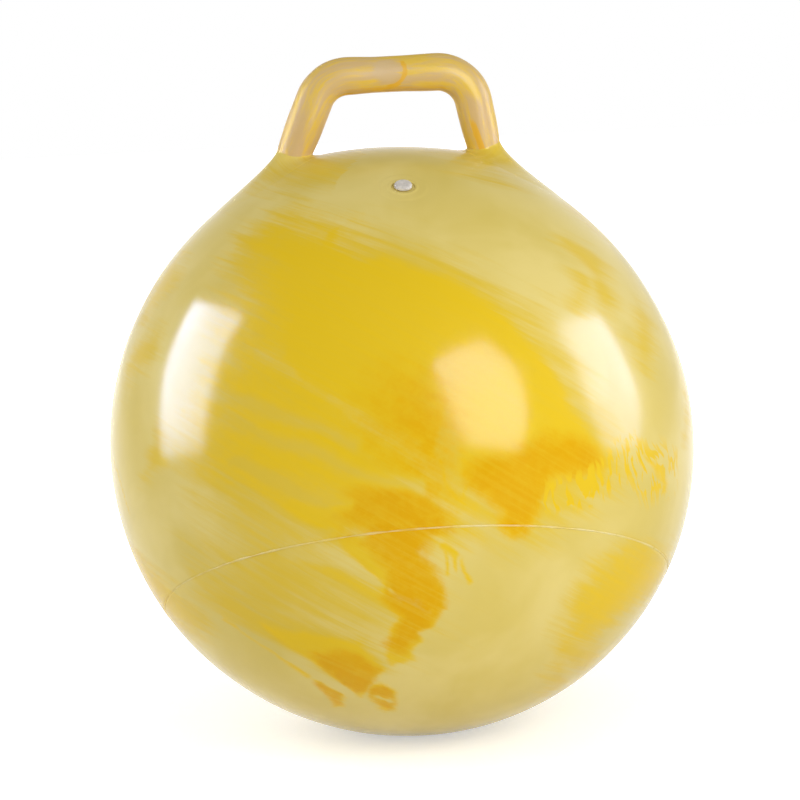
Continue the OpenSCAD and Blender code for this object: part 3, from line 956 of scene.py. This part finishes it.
class Recipe:
    """Short ways to add and join the nodes of one material."""

    def __init__(self, name):
        self.material = bpy.data.materials.new(name)
        self.material.use_nodes = True
        self.tree = self.material.node_tree
        self.shader = self.tree.nodes["Principled BSDF"]

    def add(self, kind, **settings):
        """A node with its own settings."""
        node = self.tree.nodes.new(kind)
        for key, value in settings.items():
            setattr(node, key, value)
        return node

    def feed(self, socket, value):
        """Joins an output to a socket, or sets the socket to a plain value."""
        if isinstance(value, bpy.types.NodeSocket):
            self.tree.links.new(value, socket)
        elif isinstance(value, (int, float)):
            socket.default_value = value
        else:
            socket.default_value = (*value, 1.0)[: len(socket.default_value)]

    def attribute(self, name, output="Fac"):
        """A value that the mesh carries at its points."""
        return self.add("ShaderNodeAttribute", attribute_name=name).outputs[output]

    def place(self):
        """The point's place in the object's own frame."""
        return self.add("ShaderNodeTexCoord").outputs["Object"]

    def scaled(self, vector, scale):
        """A vector stretched along its own axes."""
        node = self.add("ShaderNodeMapping")
        self.feed(node.inputs["Vector"], vector)
        node.inputs["Scale"].default_value = scale
        return node.outputs["Vector"]

    def noise(self, vector, scale, detail=4.0, roughness=0.55, distortion=0.0):
        """Cloudy noise between 0 and 1."""
        node = self.add("ShaderNodeTexNoise")
        self.feed(node.inputs["Vector"], vector)
        node.inputs["Scale"].default_value = scale
        node.inputs["Detail"].default_value = detail
        node.inputs["Roughness"].default_value = roughness
        node.inputs["Distortion"].default_value = distortion
        return node.outputs["Fac"]

    def sum(self, value, other, times=1.0):
        """A value plus another one times a factor."""
        node = self.add("ShaderNodeMath", operation="MULTIPLY_ADD")
        self.feed(node.inputs[0], other)
        self.feed(node.inputs[1], times)
        self.feed(node.inputs[2], value)
        return node.outputs["Value"]

    def product(self, value, other):
        """Two values multiplied."""
        node = self.add("ShaderNodeMath", operation="MULTIPLY")
        self.feed(node.inputs[0], value)
        self.feed(node.inputs[1], other)
        return node.outputs["Value"]

    def ramp(self, value, low, high, bottom=0.0, top=1.0):
        """A smooth rise from bottom to top while the value goes from low to high."""
        node = self.add("ShaderNodeMapRange", interpolation_type="SMOOTHSTEP")
        self.feed(node.inputs["Value"], value)
        self.feed(node.inputs["From Min"], low)
        self.feed(node.inputs["From Max"], high)
        self.feed(node.inputs["To Min"], bottom)
        self.feed(node.inputs["To Max"], top)
        return node.outputs["Result"]

    def part(self, vector, axis):
        """One coordinate of a vector."""
        node = self.add("ShaderNodeSeparateXYZ")
        self.feed(node.inputs["Vector"], vector)
        return node.outputs[axis]

    def glow(self, strength):
        """Add a white glow to the finished surface."""
        light = self.add("ShaderNodeEmission")
        light.inputs["Color"].default_value = (1, 1, 1, 1)
        self.feed(light.inputs["Strength"], strength)
        both = self.add("ShaderNodeAddShader")
        self.feed(both.inputs[0], self.shader.outputs["BSDF"])
        self.feed(both.inputs[1], light.outputs["Emission"])
        self.feed(self.tree.nodes["Material Output"].inputs["Surface"], both.outputs["Shader"])
        return self.material

    def blend(self, share, base, over):
        """Colour over a base by a share."""
        node = self.add("ShaderNodeMix", data_type="RGBA")
        self.feed(node.inputs["Factor"], share)
        self.feed(node.inputs[6], base)
        self.feed(node.inputs[7], over)
        return node.outputs[2]

    def bump(self, height, distance, strength):
        """Fine relief from a height value."""
        node = self.add("ShaderNodeBump")
        self.feed(node.inputs["Height"], height)
        node.inputs["Distance"].default_value = distance
        node.inputs["Strength"].default_value = strength
        return node.outputs["Normal"]

    def finish(self, colour, roughness, normal=None, specular=VINYL_MIRROR):
        """Joins the results to the shader and returns the material."""
        self.feed(self.shader.inputs["Base Color"], colour)
        self.feed(self.shader.inputs["Roughness"], roughness)
        self.shader.inputs["Specular IOR Level"].default_value = specular
        if normal is not None:
            self.feed(self.shader.inputs["Normal"], normal)
        return self.material


def marbled_colour(recipe, colours):
    """Colour of the marbled vinyl: bare vinyl, then a thin veil, golden dye, deep dye and flecks.

    Each dye level is roughened with streaks along the flow and with fine noise, then turned into a
    share by a smooth step round its edge."""
    place = recipe.place()
    flow = recipe.attribute("flow", "Vector")
    ticks = recipe.attribute("ticks", "Vector")
    streaks = recipe.noise(flow, 1.0, 5, 0.6, 0.3)
    fine_streaks = recipe.noise(recipe.scaled(flow, (1.6, 1.6, 3.2)), 1.0, 4, 0.6, 0.2)
    cloud = recipe.noise(place, 11, 3, 0.5, 0.4)
    ragged = recipe.noise(place, 120, 4, 0.65)
    swing = recipe.sum(-1.1, streaks, 2.2)
    fine_swing = recipe.sum(-0.8, fine_streaks, 1.6)
    rag = recipe.sum(-0.8, ragged, 1.6)

    bare = recipe.blend(recipe.ramp(cloud, 0.35, 0.7), colours.pale, colours.olive)
    veil = recipe.sum(recipe.sum(recipe.attribute("veil_level"), swing, 1.5), fine_swing, 0.8)
    colour = recipe.blend(recipe.ramp(veil, -1.2, 0.8, 0, 0.88), bare, colours.veil)
    gold = recipe.sum(recipe.attribute("gold_level"), swing, 0.7)
    gold = recipe.sum(recipe.sum(gold, fine_swing, 0.5), rag, 0.7)
    thick = recipe.ramp(fine_streaks, 0.25, 0.75, 0.82, 1.0)
    colour = recipe.blend(recipe.product(recipe.ramp(gold, -1, 1), thick), colour, colours.gold)
    deep = recipe.sum(recipe.sum(recipe.attribute("deep_level"), swing, 0.6), rag, 0.6)
    uneven = recipe.ramp(fine_streaks, 0.35, 0.62, 0.7, 1.0)
    uneven = recipe.product(uneven, recipe.ramp(ragged, 0.3, 0.6, 0.75, 1.0))
    colour = recipe.blend(recipe.product(recipe.ramp(deep, -1, 1), uneven), colour, colours.deep)
    short = recipe.noise(ticks, 0.75, 2, 0.5, 0.5)
    spread = recipe.ramp(recipe.attribute("fleck_level"), -0.8, 0.8)
    flecks = recipe.product(recipe.ramp(short, 0.49, 0.56), spread)
    return recipe.blend(flecks, colour, colours.gold)


def marbled_vinyl(colours):
    """Glossy marbled vinyl with a faint orange-peel skin."""
    recipe = Recipe("ball_vinyl")
    peel = recipe.noise(recipe.place(), 260, 2, 0.5)
    patchy = recipe.noise(recipe.place(), 25, 3, 0.5)
    roughness = recipe.ramp(patchy, 0.3, 0.7, 0.13, 0.18)
    return recipe.finish(marbled_colour(recipe, colours), roughness, recipe.bump(peel, 0.0004, 0.05))


def seam_vinyl(colours):
    """Thin flash of the mould seam: bare vinyl in front, and elsewhere the colour beside it."""
    recipe = Recipe("seam_line_vinyl")
    nibbled = recipe.noise(recipe.place(), 90, 3, 0.6)
    bare = recipe.ramp(nibbled, 0.3, 0.7, 0.15, 0.6)
    front = recipe.ramp(recipe.part(recipe.place(), "Y"), -0.17, -0.04, 1.0, 0.15)
    colour = recipe.blend(recipe.product(bare, front), marbled_colour(recipe, colours), colours.seam)
    return recipe.finish(colour, recipe.ramp(nibbled, 0.3, 0.7, 0.25, 0.4))


def loop_vinyl(colours):
    """Satin vinyl of the hand loop with streaks of dye along the tube, and larger marks of thick dye
    and painted shade.
    """
    recipe = Recipe("hand_loop_vinyl")
    grain = recipe.attribute("grain", "Vector")
    streaks = recipe.noise(recipe.scaled(grain, (1.7, 1.7, 0.7)), 1.0, 5, 0.6, 0.5)
    fine = recipe.noise(recipe.scaled(grain, (4, 4, 0.9)), 1.0, 3, 0.6, 0.3)
    clouds = recipe.noise(recipe.place(), 30, 3, 0.5, 0.6)
    ragged = recipe.sum(-0.5, fine)
    light = recipe.sum(recipe.sum(fine, clouds, 0.6), recipe.attribute("pale_level"), 0.6)
    colour = recipe.blend(recipe.ramp(light, 0.75, 1.15), colours.loop, colours.loop_pale)
    dyed = recipe.sum(recipe.sum(streaks, fine, 0.6), recipe.attribute("pale_level"), -0.5)
    colour = recipe.blend(recipe.ramp(dyed, 0.66, 0.94, 0, 0.9), colour, colours.loop_dye)
    # Thick dye, with painted shade under the bar and in the crease at each foot
    marks = recipe.sum(recipe.attribute("dye_and_shade_level"), ragged, 1.1)
    colour = recipe.blend(recipe.ramp(marks, 0.3, 0.9, 0, 0.85), colour, colours.loop_dye_and_shade)
    relief = recipe.bump(fine, 0.0006, 0.15)
    return recipe.finish(colour, recipe.ramp(clouds, 0.3, 0.7, 0.3, 0.42), relief)


def seat_vinyl(colours):
    """Thick vinyl of the valve's seat, cloudier than the skin."""
    recipe = Recipe("valve_seat_vinyl")
    cloud = recipe.noise(recipe.place(), 140, 3, 0.5)
    colour = recipe.blend(recipe.ramp(cloud, 0.3, 0.7), colours.pale, colours.olive)
    return recipe.finish(colour, recipe.ramp(cloud, 0.3, 0.7, 0.35, 0.5))


def plug_plastic(colours):
    """White moulded plastic of the plug, a little greyer in patches."""
    recipe = Recipe("air_plug_plastic")
    cloud = recipe.noise(recipe.place(), 320, 3, 0.5)
    grey = tuple(0.8 * value for value in colours.plug)
    colour = recipe.blend(recipe.ramp(cloud, 0.35, 0.7), colours.plug, grey)
    roughness = recipe.ramp(cloud, 0.3, 0.7, 0.28, 0.4)
    return recipe.finish(colour, roughness, recipe.bump(cloud, 0.0003, 0.1))


def settings_of(context):
    """The hopper ball's settings in a scene."""
    return context.scene.hopper_ball


def shared_material(name, make, colours):
    """The material of that name, made the first time it is asked for."""
    return bpy.data.materials.get(name) or make(colours)


class HOPPER_OT_skins(bpy.types.Operator):
    """Make the skin of the ball above and below the mould seam"""

    bl_idname = "hopper.skins"
    bl_label = "Ball Skins"

    def execute(self, context):
        settings = settings_of(context)
        vinyl = shared_material("ball_vinyl", marbled_vinyl, settings.colours)
        upper = ring_grid(upper_skin_grid(settings.skin, settings.valve))
        dye = marbling(upper[0], settings.skin)
        make_piece("ball_upper_skin", upper, BALL_BODY, "upper_skin", vinyl, dye)
        lower = capped_grid(*lower_skin_grid(settings.skin))
        dye = marbling(lower[0], settings.skin)
        make_piece("ball_lower_skin", lower, BALL_BODY, "lower_skin", vinyl, dye)
        return {"FINISHED"}


class HOPPER_OT_seam(bpy.types.Operator):
    """Make the raised line of the mould seam"""

    bl_idname = "hopper.seam"
    bl_label = "Mould Seam"

    def execute(self, context):
        settings = settings_of(context)
        bead = ring_grid(seam_bead_grid(settings.skin))
        dye = marbling(bead[0], settings.skin)
        vinyl = shared_material("seam_line_vinyl", seam_vinyl, settings.colours)
        make_piece("mould_seam_line", bead, BALL_BODY, "seam_flash", vinyl, dye)
        return {"FINISHED"}


class HOPPER_OT_loop(bpy.types.Operator):
    """Make the hollow hand loop"""

    bl_idname = "hopper.loop"
    bl_label = "Hand Loop"

    def execute(self, context):
        settings = settings_of(context)
        grid, dye = hand_loop_grid(settings.skin, settings.loop)
        vinyl = shared_material("hand_loop_vinyl", loop_vinyl, settings.colours)
        make_piece("hand_loop", ring_grid(grid), BALL_BODY, "handle_loop", vinyl, dye)
        return {"FINISHED"}


class HOPPER_OT_roots(bpy.types.Operator):
    """Make the flared roots that the loop's legs stand on"""

    bl_idname = "hopper.roots"
    bl_label = "Leg Roots"

    def execute(self, context):
        settings = settings_of(context)
        vinyl = shared_material("ball_vinyl", marbled_vinyl, settings.colours)
        for leg, node in zip(leg_lines(settings.skin, settings.loop), ("left_root", "right_root")):
            flare = ring_grid(root_grid(leg, settings.skin, settings.loop))
            dye = marbling(flare[0], settings.skin)
            make_piece("flared_" + node, flare, BALL_BODY, node, vinyl, dye)
        return {"FINISHED"}


class HOPPER_OT_seat(bpy.types.Operator):
    """Make the air valve's seat"""

    bl_idname = "hopper.seat"
    bl_label = "Valve Seat"

    def execute(self, context):
        settings = settings_of(context)
        seat = ring_grid(valve_seat_grid(settings.skin, settings.valve))
        vinyl = shared_material("valve_seat_vinyl", seat_vinyl, settings.colours)
        make_piece("air_valve_seat", seat, BALL_BODY, "valve_seat", vinyl)
        return {"FINISHED"}


class HOPPER_OT_plug(bpy.types.Operator):
    """Make the air plug"""

    bl_idname = "hopper.plug"
    bl_label = "Air Plug"

    def execute(self, context):
        settings = settings_of(context)
        plug = capped_grid(*air_plug_grid(settings.skin, settings.valve))
        plastic = shared_material("air_plug_plastic", plug_plastic, settings.colours)
        make_piece("air_plug", plug, PLUG_BODY, "valve_plug", plastic)
        return {"FINISHED"}


# The studio

SENSOR_WIDTH = 36
FLOOR_RADIUS = 14.0
FLOOR_SIDES = 64
FLOOR_RINGS = 8
# Depth of the floor under the ball's flat
FLOOR_GAP = 0.2 * MM
HOOD_RADIUS = 3.5
HOOD_SIDES = 96
HOOD_ROWS = 24
# Heights in degrees of the grey hood's edge at the back, at the sides and in front
HOOD_EDGES = (4, 34, -15)
# Each softbox: name, its place from the ball's middle, width, height, roll in degrees and brightness
SOFTBOXES = (
    ("left_softbox", (-1.20, 0.04, 0.47), 0.58, 0.90, 0, 0.76),
    ("right_softbox", (1.22, 0.05, 0.43), 0.50, 0.88, 0, 0.26),
    ("front_softbox", (0.58, -1.12, 0.42), 0.60, 0.80, -18, 1.28),
)


def camera_directions(stage):
    """The camera's right, up and backward directions, rolled about its line of sight."""
    turn, tilt, roll = stage.azimuth, stage.elevation, stage.roll
    back = np.array([math.sin(turn) * math.cos(tilt), -math.cos(turn) * math.cos(tilt), math.sin(tilt)])
    right = np.array([math.cos(turn), math.sin(turn), 0.0])
    up = np.cross(back, right)
    rolled_right = math.cos(roll) * right + math.sin(roll) * up
    return rolled_right, np.cross(back, rolled_right), back


def posed(right, up, back, place):
    """The matrix of an object with those three directions at a place."""
    matrix = Matrix.Identity(4)
    for column, direction in enumerate((right, up, back, place)):
        for row in range(3):
            matrix[row][column] = float(direction[row])
    return matrix


def add_camera(scene, skin, stage):
    """The camera at the picture's viewing angle, aimed at the ball's middle and shifted a little."""
    lens = bpy.data.cameras.new("picture_camera")
    lens.sensor_width = SENSOR_WIDTH
    lens.lens = stage.focal
    lens.shift_x = -stage.aside / PICTURE_PIXELS
    lens.shift_y = stage.below / PICTURE_PIXELS
    camera = bpy.data.objects.new("picture_camera", lens)
    scene.collection.objects.link(camera)
    right, up, back = camera_directions(stage)
    camera.matrix_world = posed(right, up, back, ball_centre(skin) + stage.distance * back)
    scene.camera = camera


def facing_ball(offset):
    """Right, up and backward directions of an upright thing that faces the ball from an offset."""
    back = unit(np.array(offset))
    right = unit(np.cross([0.0, 0.0, 1.0], back))
    return right, np.cross(back, right), back


def add_softboxes(scene, skin, stage):
    """Three softboxes that face the ball, hidden from reflections, which see their fronts instead.

    A box's power is its brightness times its area and pi."""
    for name, offset, width, height, roll, share in SOFTBOXES:
        lamp = bpy.data.lights.new(name, "AREA")
        lamp.shape = "RECTANGLE"
        lamp.size = width
        lamp.size_y = height
        lamp.energy = stage.softbox * share * math.pi * width * height
        box = bpy.data.objects.new(name, lamp)
        scene.collection.objects.link(box)
        right, up, back = facing_ball(offset)
        turn = math.radians(roll)
        rolled = math.cos(turn) * right + math.sin(turn) * up
        box.matrix_world = posed(rolled, np.cross(back, rolled), back, ball_centre(skin) + offset)
        box.visible_glossy = False


# Fronts of the softboxes as reflections see them: place from the ball's middle, share of the
# brightness, and corners to the right and up in metres
SOFTBOX_FRONTS = (
    ("left_front", (-1.20, 0.15, 0.47), 1.15,
     ((-0.15, -0.55), (0.40, -0.45), (0.25, 0.50), (-0.40, 0.30))),
    ("right_front", (1.23, -0.18, 0.36), 0.8,
     ((-0.25, -0.40), (0.20, -0.45), (0.30, -0.20), (0.30, 0.30), (-0.20, 0.45), (-0.30, -0.10))),
    ("middle_front", (0.55, -1.11, 0.49), 1.0,
     ((-0.25, -0.35), (0.25, -0.45), (0.35, -0.20), (0.35, 0.15), (0.15, 0.45), (-0.35, 0.35))),
)
# Cool white of the cloth
FRONT_COLOUR = (0.5, 0.6, 1.0, 1.0)


def front_cloth(name, strength):
    """Lit cloth of a softbox: a little uneven, and dimmer towards its foot."""
    recipe = Recipe(name)
    uneven = recipe.ramp(recipe.noise(recipe.place(), 4, 2, 0.5), 0.3, 0.7, 0.9, 1.0)
    faded = recipe.product(uneven, recipe.ramp(recipe.part(recipe.place(), "Z"), 0.2, 0.6, 0.6, 1.0))
    glow = recipe.add("ShaderNodeEmission")
    glow.inputs["Color"].default_value = FRONT_COLOUR
    recipe.feed(glow.inputs["Strength"], recipe.product(faded, strength))
    recipe.feed(recipe.tree.nodes["Material Output"].inputs["Surface"], glow.outputs["Emission"])
    return recipe.material


def add_softbox_fronts(scene, skin, stage):
    """The softboxes' fronts: flat outlines that face the ball and that only reflections see."""
    for name, offset, share, corners in SOFTBOX_FRONTS:
        right, up, _ = facing_ball(offset)
        points = ball_centre(skin) + offset + np.array(corners) @ np.array([right, up])
        mesh = bpy.data.meshes.new(name)
        mesh.from_pydata(points.tolist(), [], [list(range(len(points)))])
        mesh.materials.append(front_cloth(name, stage.gleam * share))
        front = bpy.data.objects.new(name, mesh)
        scene.collection.objects.link(front)
        seen_by_reflections(front)


def seen_by_reflections(item):
    """Hide an object of the stage from all rays but reflected ones."""
    item.visible_camera = False
    item.visible_diffuse = False
    item.visible_transmission = False
    item.visible_shadow = False


def background_share(tree):
    """1 for camera, glossy and see-through rays, which see the white background, and 0 for others."""
    path = tree.nodes.new("ShaderNodeLightPath")
    share = path.outputs["Is Camera Ray"]
    for ray in ("Is Glossy Ray", "Is Transmission Ray"):
        either = tree.nodes.new("ShaderNodeMath")
        either.operation = "MAXIMUM"
        tree.links.new(share, either.inputs[0])
        tree.links.new(path.outputs[ray], either.inputs[1])
        share = either.outputs["Value"]
    return share


def add_room(scene, stage):
    """A white background for the camera, and an even grey room light for the object."""
    world = bpy.data.worlds.new("white_room")
    world.use_nodes = True
    tree = world.node_tree
    seen = tree.nodes["Background"]
    seen.inputs["Color"].default_value = (1, 1, 1, 1)
    seen.inputs["Strength"].default_value = 1.0
    room = tree.nodes.new("ShaderNodeBackground")
    room.inputs["Color"].default_value = (1, 1, 1, 1)
    room.inputs["Strength"].default_value = stage.ambient
    mix = tree.nodes.new("ShaderNodeMixShader")
    share = background_share(tree)
    tree.links.new(share, mix.inputs["Fac"])
    tree.links.new(room.outputs["Background"], mix.inputs[1])
    tree.links.new(seen.outputs["Background"], mix.inputs[2])
    tree.links.new(mix.outputs["Shader"], tree.nodes["World Output"].inputs["Surface"])
    scene.world = world


def floor_paint(colours):
    """White floor paint that looks as white as the background, with the object's shadow on it.

    Its glow for the camera and for reflections rises to full white away from the object."""
    recipe = Recipe("studio_floor")
    speckle = recipe.noise(recipe.place(), 60, 2, 0.5)
    dull = tuple(0.97 * value for value in colours.floor)
    recipe.finish(recipe.blend(speckle, colours.floor, dull), 0.9, specular=PAINT_MIRROR)
    away = recipe.add("ShaderNodeVectorMath", operation="LENGTH")
    recipe.feed(away.inputs[0], recipe.place())
    white = recipe.ramp(away.outputs["Value"], 0.4, 1.6, 0.5, 1.0)
    return recipe.glow(recipe.product(background_share(recipe.tree), white))


def add_floor(scene, colours):
    """A round floor: a disc of rings whose radius grows with the square of the ring's number."""
    turn = ring_turns(FLOOR_SIDES)
    radius = FLOOR_RADIUS * (np.arange(1, FLOOR_RINGS + 1) / FLOOR_RINGS) ** 2
    ring = np.column_stack([np.cos(turn), np.sin(turn), 0 * turn])
    grid = radius[:, None, None] * ring - np.array([0, 0, FLOOR_GAP])
    index = np.arange(FLOOR_RINGS * FLOOR_SIDES).reshape(-1, FLOOR_SIDES)
    points = np.vstack([grid.reshape(-1, 3), [[0, 0, -FLOOR_GAP]]])
    middle = np.full(FLOOR_SIDES, len(points) - 1)
    start = np.column_stack([middle, index[0], np.roll(index[0], -1)])
    mesh = bpy.data.meshes.new("studio_floor")
    mesh.from_pydata(points.tolist(), [], start.tolist() + band_faces(index).tolist())
    mesh.materials.append(floor_paint(colours))
    floor = bpy.data.objects.new("studio_floor", mesh)
    scene.collection.objects.link(floor)


def add_hood(scene, skin):
    """A grey hood over the stage that only reflections see, so the vinyl isn't veiled with white.

    It is part of a sphere, from the top down to an edge whose height goes with the squared sine of
    the turn from its back or front height to that of the sides. At the back and the sides it brightens
    towards its edge until it is as white as the room."""
    back, beside, front = HOOD_EDGES
    turn = ring_turns(HOOD_SIDES)
    end = np.where(np.cos(turn) > 0, back, front)
    edge = np.radians(end + (beside - end) * np.sin(turn) ** 2)
    share = np.linspace(0.01, 1, HOOD_ROWS)[:, None]
    height = math.pi / 2 - share * (math.pi / 2 - edge)
    level = np.cos(height)
    ring = np.stack([level * np.sin(turn), level * np.cos(turn), np.sin(height)], axis=-1)
    grid = ball_centre(skin) + HOOD_RADIUS * ring
    mesh = bpy.data.meshes.new("studio_hood")
    index = np.arange(grid.shape[0] * grid.shape[1]).reshape(grid.shape[:2])
    mesh.from_pydata(grid.reshape(-1, 3).tolist(), [], band_faces(index).tolist())
    bright = smooth_step(0.5, 1, share) * smooth_step(-0.7, -0.2, np.cos(turn))
    layer = mesh.attributes.new("bright", "FLOAT", "POINT")
    layer.data.foreach_set("value", bright.astype(np.float32).ravel())
    recipe = Recipe("studio_hood")
    cloth = recipe.noise(recipe.place(), 8, 2, 0.5)
    dark = recipe.blend(cloth, tone(140, 140, 140), tone(150, 150, 150))
    recipe.finish(dark, 0.9, specular=PAINT_MIRROR)
    mesh.materials.append(recipe.glow(recipe.attribute("bright")))
    hood = bpy.data.objects.new("studio_hood", mesh)
    scene.collection.objects.link(hood)
    seen_by_reflections(hood)


class HOPPER_OT_stage(bpy.types.Operator):
    """Make the studio: floor, room light, hood, softboxes with their fronts, and camera"""

    bl_idname = "hopper.stage"
    bl_label = "Studio Stage"

    def execute(self, context):
        settings = settings_of(context)
        scene = context.scene
        scene.view_settings.view_transform = "Standard"
        add_floor(scene, settings.colours)
        add_room(scene, settings.stage)
        add_hood(scene, settings.skin)
        add_softboxes(scene, settings.skin, settings.stage)
        add_softbox_fronts(scene, settings.skin, settings.stage)
        add_camera(scene, settings.skin, settings.stage)
        return {"FINISHED"}


class HOPPER_PT_panel(bpy.types.Panel):
    """Lists the pieces of the hopper ball and their settings"""

    bl_idname = "HOPPER_PT_panel"
    bl_label = "Hopper Ball"
    bl_space_type = "VIEW_3D"
    bl_region_type = "UI"
    bl_category = "Hopper Ball"

    def draw(self, context):
        settings = settings_of(context)
        for operator in PIECE_OPERATORS:
            self.layout.operator(operator.bl_idname)
        for group in (settings.skin, settings.loop, settings.valve, settings.colours, settings.stage):
            box = self.layout.box()
            for key in group.bl_rna.properties.keys():
                if key not in ("rna_type", "name"):
                    box.prop(group, key)


SETTING_GROUPS = (
    HopperBallSkin,
    HopperBallLoop,
    HopperBallValve,
    HopperBallColours,
    HopperBallStage,
    HopperBallSettings,
)
PIECE_OPERATORS = (
    HOPPER_OT_skins,
    HOPPER_OT_seam,
    HOPPER_OT_loop,
    HOPPER_OT_roots,
    HOPPER_OT_seat,
    HOPPER_OT_plug,
    HOPPER_OT_stage,
)
CLASSES = SETTING_GROUPS + PIECE_OPERATORS + (HOPPER_PT_panel,)


def register():
    """Adds the classes to Blender and the settings to each scene."""
    for item in CLASSES:
        bpy.utils.register_class(item)
    bpy.types.Scene.hopper_ball = PointerProperty(type=HopperBallSettings)


def unregister():
    """Takes the settings and the classes out again."""
    del bpy.types.Scene.hopper_ball
    for item in reversed(CLASSES):
        bpy.utils.unregister_class(item)


def main():
    """Builds every piece and the stage."""
    register()
    bpy.ops.hopper.skins()
    bpy.ops.hopper.seam()
    bpy.ops.hopper.loop()
    bpy.ops.hopper.roots()
    bpy.ops.hopper.seat()
    bpy.ops.hopper.plug()
    bpy.ops.hopper.stage()


if __name__ == "__main__":
    main()
